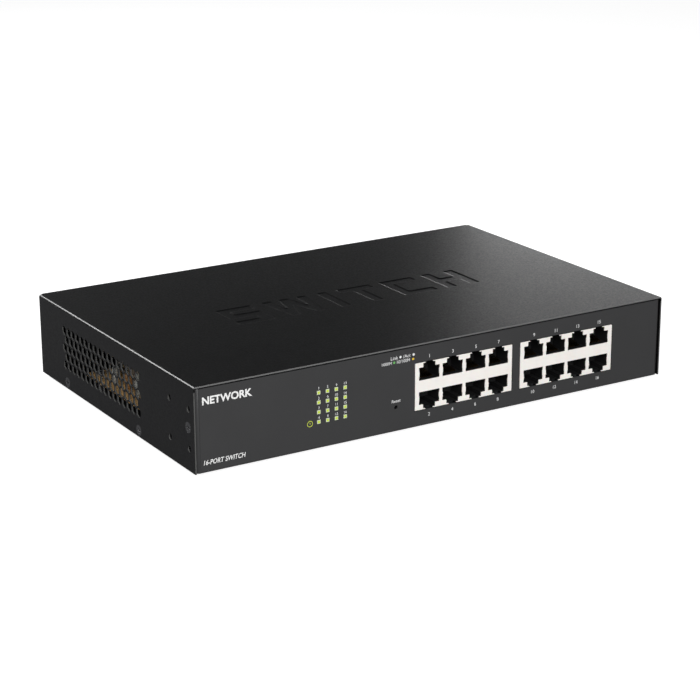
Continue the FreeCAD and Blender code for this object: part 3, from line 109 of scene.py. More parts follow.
class Pattern:
    """The node tree of one finish, around a single Principled shader."""

    def __init__(self, name: str) -> None:
        """Starts an empty tree.

        Args:
            name: the material's name.
        """
        self.material = bpy.data.materials.new(name)
        self.material.use_nodes = True
        self.tree = self.material.node_tree
        self.tree.nodes.clear()
        self.shader = self.tree.nodes.new("ShaderNodeBsdfPrincipled")
        output = self.tree.nodes.new("ShaderNodeOutputMaterial")
        self.tree.links.new(self.shader.outputs[0], output.inputs["Surface"])
        self.place = self.tree.nodes.new("ShaderNodeTexCoord").outputs["Object"]

    def feed(self, socket: Socket, value: object) -> None:
        """Links an output into a socket, or sets the socket's own value.

        Args:
            socket: the input to fill.
            value: an output, a number or a tuple.
        """
        if isinstance(value, bpy.types.NodeSocket):
            self.tree.links.new(value, socket)
        else:
            socket.default_value = value

    def dial(self, **settings: object) -> None:
        """Sets the shader's sockets; an underscore in a keyword stands for a space.

        Args:
            **settings: socket names and their values or outputs.
        """
        for key, value in settings.items():
            if isinstance(value, tuple) and len(value) == 3:
                value = (*value, 1.0)
            self.feed(self.shader.inputs[key.replace("_", " ")], value)

    def maths(self, kind: str, first: Value, second: Value = 0.0, third: Value = 0.0) -> Socket:
        """One Math node.

        Args:
            kind: Blender's name of the operation.
            first: first operand.
            second: second operand.
            third: third operand.

        Returns:
            The node's value.
        """
        node = self.tree.nodes.new("ShaderNodeMath")
        node.operation = kind
        for socket, value in zip(node.inputs, (first, second, third)):
            self.feed(socket, value)
        return node.outputs[0]

    def along(self, axis: Axis) -> Socket:
        """The object coordinate along one axis.

        Args:
            axis: which axis.

        Returns:
            The coordinate in metres.
        """
        node = self.tree.nodes.new("ShaderNodeSeparateXYZ")
        self.feed(node.inputs[0], self.place)
        return node.outputs[axis.value]

    def stretched(self, scale: tuple[float, float, float]) -> Socket:
        """Object coordinates scaled along each axis.

        Args:
            scale: factor on each axis; below 1 it stretches what is drawn on them.

        Returns:
            The scaled coordinates.
        """
        node = self.tree.nodes.new("ShaderNodeMapping")
        self.feed(node.inputs["Vector"], self.place)
        node.inputs["Scale"].default_value = scale
        return node.outputs[0]

    def noise(self, grain: float, detail: float = 2.0, place: Socket | None = None) -> Socket:
        """Smooth random pattern.

        Args:
            grain: size of one patch in metres.
            detail: octaves of finer noise.
            place: coordinates, or None for the object's own.

        Returns:
            A value around 0.5.
        """
        node = self.tree.nodes.new("ShaderNodeTexNoise")
        self.feed(node.inputs["Vector"], place or self.place)
        node.inputs["Scale"].default_value = 1.0 / grain
        node.inputs["Detail"].default_value = detail
        return node.outputs["Fac"]

    def cells(self, grain: float) -> Socket:
        """Distance to the nearest of scattered points.

        Args:
            grain: spacing of the points in metres.

        Returns:
            The distance, in units of the spacing.
        """
        node = self.tree.nodes.new("ShaderNodeTexVoronoi")
        self.feed(node.inputs["Vector"], self.place)
        node.inputs["Scale"].default_value = 1.0 / grain
        return node.outputs["Distance"]

    def steps(self, value: Value, low: float, high: float, to_low: float = 0.0,
              to_high: float = 1.0) -> Socket:
        """Carries a range of values smoothly onto another, clamped at both ends.

        Args:
            value: what is read.
            low: where the first end lies.
            high: where the second end lies.
            to_low: result at and before the first end.
            to_high: result at and after the second end.

        Returns:
            The carried value.
        """
        node = self.tree.nodes.new("ShaderNodeMapRange")
        node.interpolation_type = "SMOOTHSTEP"
        sockets = ("Value", "From Min", "From Max", "To Min", "To Max")
        for name, number in zip(sockets, (value, low, high, to_low, to_high)):
            self.feed(node.inputs[name], number)
        return node.outputs[0]

    def rough(self, noise: Value, low: float, high: float) -> Socket:
        """A roughness that follows a noise over the noise's usual range.

        Args:
            noise: the noise's value.
            low: roughness where the noise is low.
            high: roughness where it is high.

        Returns:
            The roughness.
        """
        return self.steps(noise, NOISE_LOW, NOISE_HIGH, low, high)

    def blend(self, share: Value, low: object, high: object) -> Socket:
        """Mixes two colours.

        Args:
            share: 0 for the first colour, 1 for the second.
            low: first colour.
            high: second colour.

        Returns:
            The mixed colour.
        """
        node = self.tree.nodes.new("ShaderNodeMix")
        node.data_type = "RGBA"
        self.feed(node.inputs[0], share)
        for socket, colour in zip(node.inputs[6:8], (low, high)):
            self.feed(socket, (*colour, 1.0) if isinstance(colour, tuple) else colour)
        return node.outputs[2]

    def bump(self, height: Value, depth: float) -> Socket:
        """Surface relief.

        Args:
            height: relief between 0 and 1.
            depth: its full height in metres.

        Returns:
            The bent normal.
        """
        node = self.tree.nodes.new("ShaderNodeBump")
        node.inputs["Strength"].default_value = 1.0
        node.inputs["Distance"].default_value = depth
        self.feed(node.inputs["Height"], height)
        return node.outputs[0]

    def spaced(self, axis: Axis, start: float, pitch: float) -> Socket:
        """Signed distance along an axis from the nearest of evenly spaced places, in metres.

        Args:
            axis: direction of the row.
            start: first place.
            pitch: distance between neighbours.

        Returns:
            pitch times (fraction of ((p - start) / pitch + 0.5) less 0.5).
        """
        turns = self.maths("MULTIPLY_ADD", self.along(axis), 1.0 / pitch, 0.5 - start / pitch)
        share = self.maths("FRACT", turns)
        return self.maths("MULTIPLY", self.maths("SUBTRACT", share, 0.5), pitch)


_MADE: dict[object, bpy.types.Material] = {}


@dataclass(frozen=True)
class Finish:
    """A finish; its material is made once, when first used."""

    name: str
    colour: Colour
    slot: str

    def paint(self, pattern: Pattern) -> None:
        """Fills the pattern's shader; each kind of finish has its own."""
        raise NotImplementedError

    def material(self) -> bpy.types.Material:
        """The finish's material, made at the first call and kept.

        Returns:
            The material.
        """
        if self not in _MADE:
            pattern = Pattern(self.name)
            self.paint(pattern)
            _MADE[self] = pattern.material
        return _MADE[self]

    def shade(self, pattern: Pattern, share: Value, spread: float) -> Socket:
        """The finish's colour made darker and lighter by a pattern.

        Args:
            pattern: the node tree.
            share: pattern value between 0 and 1.
            spread: how far the colour goes either way, as a share of itself.

        Returns:
            The varied colour.
        """
        dark = tuple(part * (1.0 - spread) for part in self.colour)
        light = tuple(min(part * (1.0 + spread), 1.0) for part in self.colour)
        return pattern.blend(share, dark, light)


@dataclass(frozen=True)
class PowderCoat(Finish):
    """Black powder coat with fine orange-peel grain and sparse lighter specks."""

    grain: float = 0.42 * MM
    relief: float = 0.012 * MM
    gloss: float = 0.34
    front_colour: Colour | None = None
    front_at: float = 0.0
    front_span: tuple[float, float] = (0.0, 1.0)
    hole_colour: Colour | None = None
    hole_span: tuple[float, float] = (LID_SIDE - 0.72 * MM, LID_SIDE - 0.05 * MM)
    hole_top: float = LID_TOP - 2.6 * MM
    sheen: float = 0.36
    fleck: float = 2.6

    def paint(self, pattern: Pattern) -> None:
        """Grain is the sum of two noises; specks show where scattered cells are near.

        The coat catches more light on the forward edges and inside the wall of the vent holes, so
        both are painted paler there.

        Args:
            pattern: the node tree to fill.
        """
        coarse = pattern.noise(self.grain, 3.0)
        fine = pattern.noise(self.grain * 0.32, 1.0)
        grain = pattern.maths("MULTIPLY_ADD", fine, 0.45, coarse)
        speck = pattern.steps(pattern.cells(self.grain * 1.5), 0.10, 0.26, 1.0, 0.0)
        mottle = pattern.noise(38 * MM, 2.0)
        base = pattern.blend(speck, self.shade(pattern, mottle, 0.25),
                             tuple(part * self.fleck for part in self.colour))
        # Painted highlight: faces ahead of front_at and within front_span take the paler front colour,
        # where the coat catches the front light.
        if self.front_colour is not None:
            ahead = pattern.maths("LESS_THAN", pattern.along(Axis.Y), self.front_at)
            over = pattern.maths("GREATER_THAN", pattern.along(Axis.Z), self.front_span[0])
            under = pattern.maths("LESS_THAN", pattern.along(Axis.Z), self.front_span[1])
            front_highlight_mask = pattern.maths("MULTIPLY", pattern.maths("MULTIPLY", ahead, over), under)
            base = pattern.blend(front_highlight_mask, base, self.front_colour)
        # Painted highlight: the walls of the vent holes in the lid's side sheets take the paler hole
        # colour, where they catch light.
        if self.hole_colour is not None:
            away = pattern.maths("ABSOLUTE", pattern.along(Axis.X))
            within = pattern.maths("MULTIPLY", pattern.maths("GREATER_THAN", away, self.hole_span[0]),
                                   pattern.maths("LESS_THAN", away, self.hole_span[1]))
            low = pattern.maths("LESS_THAN", pattern.along(Axis.Z), self.hole_top)
            base = pattern.blend(pattern.maths("MULTIPLY", within, low), base, self.hole_colour)
        rough = pattern.rough(pattern.noise(self.grain * 2.2, 2.0), self.gloss - 0.05, self.gloss + 0.07)
        pattern.dial(Base_Color=base, Roughness=rough, Specular_IOR_Level=self.sheen,
                     Normal=pattern.bump(grain, self.relief))


@dataclass(frozen=True)
class PrintedFilm(Finish):
    """Matt polyester film with a very fine even tooth."""

    def paint(self, pattern: Pattern) -> None:
        """A tooth of 0.12 mm, and slow mottling of the grey.

        Args:
            pattern: the node tree to fill.
        """
        tooth = pattern.noise(0.12 * MM, 2.0)
        mottle = pattern.noise(22 * MM, 3.0)
        pattern.dial(Base_Color=self.shade(pattern, mottle, 0.07), Specular_IOR_Level=0.3,
                     Roughness=pattern.rough(tooth, 0.56, 0.66),
                     Normal=pattern.bump(tooth, 0.006 * MM))


@dataclass(frozen=True)
class Moulded(Finish):
    """Moulded plastic: eroded tooth, slow flow lines and slight colour drift."""

    gloss: float = 0.42
    tooth: float = 0.3 * MM
    relief: float = 0.008 * MM
    depth_fade: float | None = None
    subsurface: float = 0.0

    def paint(self, pattern: Pattern) -> None:
        """Where a painted-shade depth is given, the colour falls to black behind it, as painted shade
        inside the openings.

        Args:
            pattern: the node tree to fill.
        """
        tooth = pattern.noise(self.tooth, 3.0)
        flow = pattern.noise(6 * MM, 2.0, pattern.stretched((1.0, 1.0, 0.25)))
        colour: object = self.shade(pattern, flow, 0.06)
        # Painted shade: behind the given depth the colour falls to near black.
        if self.depth_fade is not None:
            inside = pattern.steps(pattern.along(Axis.Y), self.depth_fade - 0.45 * MM, self.depth_fade)
            colour = pattern.blend(inside, colour, tuple(part * 0.04 for part in self.colour))
        pattern.dial(Base_Color=colour, Subsurface_Weight=self.subsurface, Subsurface_Scale=0.4 * MM,
                     Roughness=pattern.rough(tooth, self.gloss - 0.04, self.gloss + 0.06),
                     Normal=pattern.bump(tooth, self.relief))


@dataclass(frozen=True)
class LitLens(Finish):
    """Clear lens in a grid of lamps, lit from behind: a bright heart and paler edges."""

    heart: Colour = (0.46, 0.58, 0.04)
    first: tuple[float, float] = (0.0, 0.0)
    pitch: float = LAMP_PITCH
    reach: float = 1.0 * MM
    strength: float = 0.24

    def paint(self, pattern: Pattern) -> None:
        """Brightness follows the larger of the distances across and up from each lamp's middle.

        Args:
            pattern: the node tree to fill.
        """
        across = pattern.maths("ABSOLUTE", pattern.spaced(Axis.X, self.first[0], self.pitch))
        up = pattern.maths("ABSOLUTE", pattern.spaced(Axis.Z, self.first[1], self.pitch))
        edge = pattern.steps(pattern.maths("MAXIMUM", across, up), self.reach * 0.48, self.reach * 0.68)
        flutes = pattern.noise(0.35 * MM, 1.0)
        glow = pattern.blend(edge, self.heart, self.colour)
        pattern.dial(Base_Color=glow, Roughness=0.22, Emission_Color=glow,
                     Emission_Strength=self.strength, Normal=pattern.bump(flutes, 0.01 * MM))


@dataclass(frozen=True)
class Metal(Finish):
    """Plated or bare metal, drawn along one axis, with faint handling marks."""

    gloss: float = 0.3
    drawn: Axis | None = None
    drawn_scale: float = 0.025
    spangle: float = 0.0

    def paint(self, pattern: Pattern) -> None:
        """Drawn lines are noise stretched along the axis by one over the factor drawn_scale.

        Args:
            pattern: the node tree to fill.
        """
        scale = [1.0, 1.0, 1.0]
        if self.drawn is not None:
            scale[self.drawn.value] = self.drawn_scale
        lines = pattern.noise(0.22 * MM, 2.0, pattern.stretched(tuple(scale)))
        crystals = pattern.cells(2.6 * MM)
        tint = pattern.maths("MULTIPLY_ADD", crystals, self.spangle, lines)
        marks = pattern.noise(4 * MM, 4.0)
        pattern.dial(Base_Color=self.shade(pattern, tint, 0.12), Metallic=1.0,
                     Roughness=pattern.rough(marks, self.gloss - 0.06, self.gloss + 0.1),
                     Normal=pattern.bump(lines, 0.004 * MM))


@dataclass(frozen=True)
class Laminate(Finish):
    """Circuit board: woven or paper base under its mask, with printed tracks and pads."""

    track: Colour = (0.05, 0.22, 0.10)
    solder: Colour = (0.72, 0.70, 0.64)
    pitch: float = 2.54 * MM
    gloss: float = 0.35

    def paint(self, pattern: Pattern) -> None:
        """Tracks run where a coarse noise crosses evenly spaced lines; pads are a grid of dots.

        Args:
            pattern: the node tree to fill.
        """
        across = pattern.maths("ABSOLUTE", pattern.spaced(Axis.X, 0.0, self.pitch))
        back = pattern.maths("ABSOLUTE", pattern.spaced(Axis.Y, 0.0, self.pitch))
        lines = pattern.steps(across, 0.28 * MM, 0.4 * MM, 1.0, 0.0)
        routed = pattern.steps(pattern.noise(11 * MM, 1.0), 0.48, 0.52)
        track = pattern.maths("MULTIPLY", lines, routed)
        reach = pattern.maths("SQRT", pattern.maths(
            "ADD", pattern.maths("MULTIPLY", across, across), pattern.maths("MULTIPLY", back, back)))
        few = pattern.steps(pattern.noise(5 * MM, 0.0), 0.56, 0.58)
        pad = pattern.maths("MULTIPLY", pattern.steps(reach, 0.5 * MM, 0.6 * MM, 1.0, 0.0), few)
        fibre = pattern.noise(0.7 * MM, 3.0, pattern.stretched((1.0, 0.3, 1.0)))
        ground = self.shade(pattern, fibre, 0.16)
        colour = pattern.blend(pad, pattern.blend(track, ground, self.track), self.solder)
        pattern.dial(Base_Color=colour, Roughness=pattern.rough(fibre, self.gloss, self.gloss + 0.15),
                     Normal=pattern.bump(pattern.maths("ADD", track, pad), 0.03 * MM))


@dataclass(frozen=True)
class Mottled(Finish):
    """Matt mineral or rubber surface with pits and slow blotches."""

    gloss: float = 0.72
    grain: float = 0.4 * MM
    relief: float = 0.03 * MM

    def paint(self, pattern: Pattern) -> None:
        """Pits are dark where scattered cells are near.

        Args:
            pattern: the node tree to fill.
        """
        pits = pattern.cells(self.grain)
        blotch = pattern.noise(3 * MM, 3.0)
        pattern.dial(Base_Color=self.shade(pattern, blotch, 0.2),
                     Roughness=pattern.steps(pits, 0.1, 0.6, self.gloss + 0.08, self.gloss - 0.06),
                     Normal=pattern.bump(pits, self.relief))


@dataclass(frozen=True)
class Tape(Finish):
    """Polyester tape in overlapping turns, each edge a thin darker step."""

    turn: float = 2.2 * MM
    wound: Axis = Axis.Z

    def paint(self, pattern: Pattern) -> None:
        """A step every turn along the winding axis, over faint wrinkles.

        Args:
            pattern: the node tree to fill.
        """
        lap = pattern.maths("ABSOLUTE", pattern.spaced(self.wound, 0.0, self.turn))
        edge = pattern.steps(lap, 0.0, 0.14 * MM, 1.0, 0.0)
        wrinkle = pattern.noise(2.4 * MM, 3.0, pattern.stretched((1.0, 1.0, 0.4)))
        dark = tuple(part * 0.45 for part in self.colour)
        colour = pattern.blend(edge, self.shade(pattern, wrinkle, 0.12), dark)
        pattern.dial(Base_Color=colour, Roughness=0.32,
                     Normal=pattern.bump(pattern.maths("SUBTRACT", wrinkle, edge), 0.05 * MM))


@dataclass(frozen=True)
class Insulation(Finish):
    """Lead insulation, plain or with a second colour in stripes along an axis."""

    second: Colour | None = None
    stripe_axis: Axis = Axis.Z
    stripe: float = 4 * MM

    def paint(self, pattern: Pattern) -> None:
        """A stripe covers a third of each pitch.

        Args:
            pattern: the node tree to fill.
        """
        drift = pattern.noise(5 * MM, 2.0)
        colour: object = self.shade(pattern, drift, 0.12)
        if self.second is not None:
            away = pattern.maths("ABSOLUTE", pattern.spaced(self.stripe_axis, 0.0, self.stripe))
            band = pattern.steps(away, self.stripe * 0.2, self.stripe * 0.22, 1.0, 0.0)
            colour = pattern.blend(band, colour, self.second)
        pattern.dial(Base_Color=colour, Roughness=0.38,
                     Normal=pattern.bump(pattern.noise(0.5 * MM, 2.0), 0.01 * MM))


@dataclass(frozen=True)
class Glass(Finish):
    """Clear glass with faint ripples."""

    def paint(self, pattern: Pattern) -> None:
        """Ripples are a slow noise.

        Args:
            pattern: the node tree to fill.
        """
        ripple = pattern.noise(3 * MM, 1.0)
        pattern.dial(Base_Color=self.shade(pattern, ripple, 0.05), Roughness=0.04, Transmission_Weight=0.9,
                     Normal=pattern.bump(ripple, 0.02 * MM))


@dataclass(frozen=True)
class Ink(Finish):
    """Screen-printed ink, a little uneven, glowing slightly where lit from behind."""

    glow: float = 0.0

    def paint(self, pattern: Pattern) -> None:
        """Mesh marks of the screen are a fine noise.

        Args:
            pattern: the node tree to fill.
        """
        screen = pattern.noise(0.16 * MM, 2.0)
        pattern.dial(Base_Color=self.shade(pattern, screen, 0.14), Roughness=0.5,
                     Emission_Color=self.colour, Emission_Strength=self.glow,
                     Normal=pattern.bump(screen, 0.004 * MM))


# Painted highlights: the lid's front edge face and the walls of its vent holes are painted a paler grey
# where they catch light.
BLACK_COAT = PowderCoat("black_powder_coat", (0.0036, 0.0037, 0.0039), "case_paint",
                        front_colour=(0.15, 0.15, 0.15), front_at=LID_FRONT + 0.07 * MM,
                        front_span=(LID_TOP - 0.7 * MM, 1.0),
                        hole_colour=(0.09, 0.09, 0.088))
# Painted highlight: the tray's front wall beside the film is painted a grey a little paler than the film,
# for the light its front bends catch.
TRAY_COAT = PowderCoat("tray_powder_coat", (0.0036, 0.0037, 0.0039), "case_paint",
                       front_colour=(0.046, 0.046, 0.047), front_at=LID_FRONT + 1.1 * MM,
                       front_span=(0.0, LID_TOP - 1.5 * MM))
GREY_FILM = PrintedFilm("grey_film", (0.041, 0.041, 0.042), "panel_film")
# Painted shade: the cream falls to near black inside the jack openings, from about 0.75 mm behind the lid's
# front.
CREAM = Moulded("cream_nylon", (0.93, 0.895, 0.85), "port_cream", gloss=0.36,
                depth_fade=LID_FRONT + 0.75 * MM, subsurface=0.05)
BLACK_PLASTIC = Moulded("black_plastic", (0.006, 0.006, 0.0065), "black_plastic", gloss=0.5)
INLET_BLACK = Moulded("inlet_black", (0.012, 0.012, 0.013), "black_plastic", gloss=0.3)
WHITE_NYLON = Moulded("white_nylon", (0.82, 0.81, 0.76), "white_plastic", gloss=0.38)
CHIP_EPOXY = Moulded("chip_epoxy", (0.018, 0.018, 0.02), "chip_black", gloss=0.55, tooth=0.18 * MM)
SCREW_BLACK = Moulded("black_oxide", (0.050, 0.050, 0.053), "black_screw", gloss=0.22, tooth=0.5 * MM,
                      relief=0.004 * MM)
FOOT_RUBBER = Mottled("foot_rubber", (0.014, 0.014, 0.014), "foot_rubber")
FERRITE = Mottled("ferrite", (0.035, 0.035, 0.038), "ferrite", gloss=0.5)
SUPPLY_FILM = Mottled("insulating_sheet", (0.012, 0.012, 0.013), "insulating_film", gloss=0.4,
                      relief=0.006 * MM)
ZINC = Metal("zinc_plate", (0.56, 0.58, 0.60), "zinc_steel", gloss=0.34, spangle=0.2)
TINNED = Metal("tinned_wire", (0.62, 0.62, 0.60), "tinned_wire", gloss=0.28)
NICKEL = Metal("nickel_plate", (0.62, 0.60, 0.55), "nickel", gloss=0.2, drawn=Axis.Y)
# Painted shade: the contacts' gold is darkened so that it reads as lying in the deep shade of the jacks.
SHADED_GOLD = Metal("shaded_gold_plate", (0.13, 0.085, 0.035), "contact_gold", gloss=0.3, drawn=Axis.Y)
ALUMINIUM = Metal("drawn_aluminium", (0.70, 0.71, 0.72), "bare_aluminium", gloss=0.38, drawn=Axis.Z)
# Painted shade: the main board is coloured black so that it reads as shade where it shows through the
# jacks' latch notches.
SHADE_BLACK_BOARD = Laminate("shade_black_board", (0.010, 0.011, 0.012), "board_black", track=(0.022, 0.024, 0.026))
SUPPLY_BOARD = Laminate("tan_board", (0.60, 0.37, 0.15), "supply_tan", track=(0.50, 0.29, 0.11),
                        pitch=5.08 * MM, gloss=0.5)
CORE_TAPE = Tape("winding_tape", (0.62, 0.46, 0.05), "winding_tape")
CAN_SLEEVE = Moulded("can_sleeve", (0.020, 0.024, 0.045), "can_sleeve", gloss=0.24, tooth=0.6 * MM,
                     relief=0.01 * MM)
CAP_YELLOW = Moulded("capacitor_yellow", (0.70, 0.42, 0.04), "capacitor_yellow", gloss=0.34)
ORANGE_FILM = Moulded("orange_dip", (0.44, 0.22, 0.08), "capacitor_yellow", gloss=0.3, tooth=0.8 * MM,
                      relief=0.02 * MM)
PALE_LACQUER = Moulded("pale_lacquer", (0.55, 0.56, 0.52), "white_plastic", gloss=0.35)
GREEN_LACQUER = Moulded("yellow_green_dip", (0.52, 0.56, 0.06), "capacitor_yellow", gloss=0.3)
MAINS_BLACK = Insulation("mains_black", (0.012, 0.012, 0.012), "mains_insulation")
EARTH_STRIPE = Insulation("earth_stripe", (0.08, 0.32, 0.03), "earth_insulation", second=(0.70, 0.60, 0.03))
DC_RED = Insulation("dc_red", (0.42, 0.02, 0.015), "dc_insulation", second=(0.02, 0.02, 0.02),
                    stripe_axis=Axis.Y, stripe=6 * MM)
FUSE_GLASS = Glass("fuse_glass", (0.85, 0.90, 0.88), "fuse_glass")
WHITE_INK = Ink("white_ink", (0.86, 0.86, 0.85), "panel_film")
LABEL_INK = Ink("label_ink", (0.66, 0.66, 0.66), "panel_film")
GREEN_INK = Ink("green_ink", (0.15, 0.44, 0.13), "panel_film")
AMBER_INK = Ink("amber_ink", (0.80, 0.52, 0.03), "panel_film")
POWER_INK = Ink("power_ink", (0.42, 0.48, 0.06), "panel_film", glow=0.10)


# ---------------------------------------------------------------------------
# Surfaces
# ---------------------------------------------------------------------------


def piece(name: str, mesh: bpy.types.Mesh, finish: Finish) -> bpy.types.Object:
    """Puts a mesh in the scene as a piece that rides on the case.

    Args:
        name: the piece's name.
        mesh: its mesh, already in place.
        finish: what it is made of.

    Returns:
        The piece.
    """
    made = bpy.data.objects.new(name, mesh)
    bpy.context.scene.collection.objects.link(made)
    mesh.materials.clear()
    mesh.materials.append(finish.material())
    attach(made, BODY)
    LOG.info("%s: %d faces, %s", name, len(mesh.polygons), finish.name)
    return made


def dress(node: str, finish: Finish) -> None:
    """Gives a frame node its finish, keeping its shape.

    Args:
        node: the node's name.
        finish: its finish.
    """
    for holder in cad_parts[node].material_slots:
        holder.material = finish.material()
    LOG.info("%s: %s", node, finish.name)


def refined(name: str, node: str, finish: Finish, edge: float) -> bpy.types.Object:
    """A copy of a frame node with merged faces and rounded edges, which stands for the node.

    Args:
        name: name of the copy.
        node: the node it stands for.
        finish: its finish.
        edge: width of the rounded edges.

    Returns:
        The copy.
    """
    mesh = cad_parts[node].data.copy()
    shape = bmesh.new()
    shape.from_mesh(mesh)
    bmesh.ops.remove_doubles(shape, verts=shape.verts, dist=MERGE_WITHIN)
    bmesh.ops.dissolve_limit(shape, angle_limit=FLAT_WITHIN, verts=shape.verts, edges=shape.edges,
                             delimit={"NORMAL"})
    shape.to_mesh(mesh)
    shape.free()
    copy = piece(name, mesh, finish)
    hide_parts(node)
    soften(copy, edge)
    return copy


def soften(made: bpy.types.Object, edge: float) -> None:
    """Rounds a piece's sharp edges with a bevel.

    Args:
        made: the piece.
        edge: width of the rounding.
    """
    bevel = made.modifiers.new("edges", "BEVEL")
    bevel.width = edge
    bevel.segments = ROUND_SEGMENTS
    bevel.limit_method = "ANGLE"
    bevel.angle_limit = ROUND_ABOVE
    bevel.harden_normals = True


def read(rows: object, field: str, width: int = 1, kind: type = float) -> np.ndarray:
    """One property of all of a mesh's points, corners, edges or faces.

    Args:
        rows: the mesh's collection of them.
        field: the property's name.
        width: numbers in each row.
        kind: type of the numbers.

    Returns:
        Array with a row for each, or with a number for each where the width is 1.
    """
    values = np.zeros(len(rows) * width, kind)
    rows.foreach_get(field, values)
    return values.reshape(-1, width) if width > 1 else values


@dataclass
class Surface:
    """Points and faces gathered from several closed surfaces."""

    points: np.ndarray
    faces: list[tuple[int, ...]]

    @classmethod
    def empty(cls) -> "Surface":
        """A surface with nothing in it."""
        return cls(np.zeros((0, 3)), [])

    def add(self, other: "Surface") -> None:
        """Adds another surface to this one.

        Args:
            other: the surface to add; its face numbers are moved past this one's points.
        """
        start = len(self.points)
        self.points = np.vstack([self.points, other.points])
        self.faces += [tuple(number + start for number in face) for face in other.faces]

    def mesh(self, name: str, smooth: bool = False) -> bpy.types.Mesh:
        """The surface as a mesh.

        Args:
            name: the mesh's name.
            smooth: whether the faces shade smoothly.

        Returns:
            The mesh.
        """
        made = bpy.data.meshes.new(name)
        made.from_pydata(self.points.tolist(), [], [list(map(int, face)) for face in self.faces])
        made.polygons.foreach_set("use_smooth", [smooth] * len(made.polygons))
        made.update()
        return made


def rings(grid: np.ndarray, closed_ends: bool = True) -> Surface:
    """Closed surface from a grid of rings: each row is one ring, joined to the next.

    Args:
        grid: array of shape (rings, points around, 3). Rings turn anticlockwise as seen from
            the end they run towards.
        closed_ends: whether flat faces close the first and last ring.

    Returns:
        The surface, with quads between the rings.
    """
    count, around = grid.shape[:2]
    rows = np.arange(count - 1)[:, None] * around
    here = np.arange(around)[None, :]
    following = (here + 1) % around
    quads = np.stack([rows + here, rows + following, rows + around + following, rows + around + here], -1)
    faces = [tuple(quad) for quad in quads.reshape(-1, 4)]
    if closed_ends:
        faces.append(tuple(range(around - 1, -1, -1)))
        faces.append(tuple(range((count - 1) * around, count * around)))
    return Surface(grid.reshape(-1, 3), faces)


def swept(path: np.ndarray, radius: float, around: int = 8) -> Surface:
    """Round tube along a path: at each point a circle stands square to the path.

    Args:
        path: places along the middle line.
        radius: radius of the tube.
        around: faces round it.

    Returns:
        The closed tube.
    """
    heading = np.gradient(path, axis=0)
    heading /= np.linalg.norm(heading, axis=1)[:, None]
    side = np.cross(heading, np.where(np.abs(heading[:, 2:]) > 0.9, [[1.0, 0, 0]], [[0, 0, 1.0]]))
    side /= np.linalg.norm(side, axis=1)[:, None]
    rise = np.cross(heading, side)
    turn = np.linspace(0, 2 * np.pi, around, endpoint=False)[None, :, None]
    grid = path[:, None, :] + radius * (np.cos(turn) * side[:, None, :] + np.sin(turn) * rise[:, None, :])
    return rings(grid)


def rounded(centre: Sequence[float], half: Sequence[float], power: float = 3.2, around: int = 24,
            levels: int = 13) -> Surface:
    """Rounded block: |x/a|^p + |y/b|^p + |z/c|^p = 1, as rings of a superellipsoid.

    Args:
        centre: its middle.
        half: half of its width, depth and height.
        power: how square it is; 2 gives an ellipsoid.
        around: faces round it.
        levels: rings up it.

    Returns:
        The closed surface.
    """
    turn = np.linspace(0, 2 * np.pi, around, endpoint=False)
    cap = 0.06
    rise = np.sin(np.linspace(-np.pi / 2 + cap, np.pi / 2 - cap, levels))
    reach = (1 - np.abs(rise) ** power) ** (1 / power)
    square = (np.abs(np.cos(turn)) ** power + np.abs(np.sin(turn)) ** power) ** (-1 / power)
    grid = np.zeros((levels, around, 3))
    grid[:, :, 0] = half[0] * reach[:, None] * square * np.cos(turn)
    grid[:, :, 1] = half[1] * reach[:, None] * square * np.sin(turn)
    grid[:, :, 2] = half[2] * rise[:, None]
    return rings(grid + np.array(centre, float))


def plate(outline: np.ndarray, face: float, thickness: float) -> Surface:
    """Flat plate standing on the panel: an outline in X and Z, carried forward along -Y.

    Args:
        outline: array of x and z, anticlockwise as seen from the front.
        face: y of the back of the plate.
        thickness: how far it stands forward.

    Returns:
        The closed plate.
    """
    grid = np.zeros((2, len(outline), 3))
    grid[:, :, 0] = outline[None, :, 0]
    grid[:, :, 2] = outline[None, :, 1]
    grid[0, :, 1] = face
    grid[1, :, 1] = face - thickness
    return rings(grid)


def disc(centre: tuple[float, float], radius: float, star: float = 0.0, points: int = 64) -> np.ndarray:
    """Outline of a disc or star: radius = r (1 + star cos 8t).

    Args:
        centre: x and z of its middle.
        radius: mean radius.
        star: share of the radius by which eight rays stand out.
        points: points round it.

    Returns:
        Array of x and z, anticlockwise.
    """
    turn = np.linspace(0, 2 * np.pi, points, endpoint=False)
    reach = radius * (1.0 + star * np.cos(8 * turn))
    return np.stack([centre[0] + reach * np.cos(turn), centre[1] + reach * np.sin(turn)], 1)


def annulus(centre: tuple[float, float], inner: float, outer: float, face: float, thickness: float,
            points: int = 48) -> Surface:
    """Flat ring on the panel.

    Args:
        centre: x and z of its middle.
        inner: inner radius.
        outer: outer radius.
        face: y of its back.
        thickness: how far it stands forward.
        points: sections round it.

    Returns:
        The closed ring, its rectangular section carried once round the circle.
    """
    turn = np.linspace(0, 2 * np.pi, points, endpoint=False)
    section = np.array([(inner, 0.0), (outer, 0.0), (outer, -thickness), (inner, -thickness)])
    grid = np.zeros((4, points, 3))
    grid[:, :, 0] = centre[0] + section[:, :1] * np.cos(turn)
    grid[:, :, 2] = centre[1] + section[:, :1] * np.sin(turn)
    grid[:, :, 1] = face + section[:, 1:]
    return rings(np.concatenate([grid, grid[:1]]), closed_ends=False)


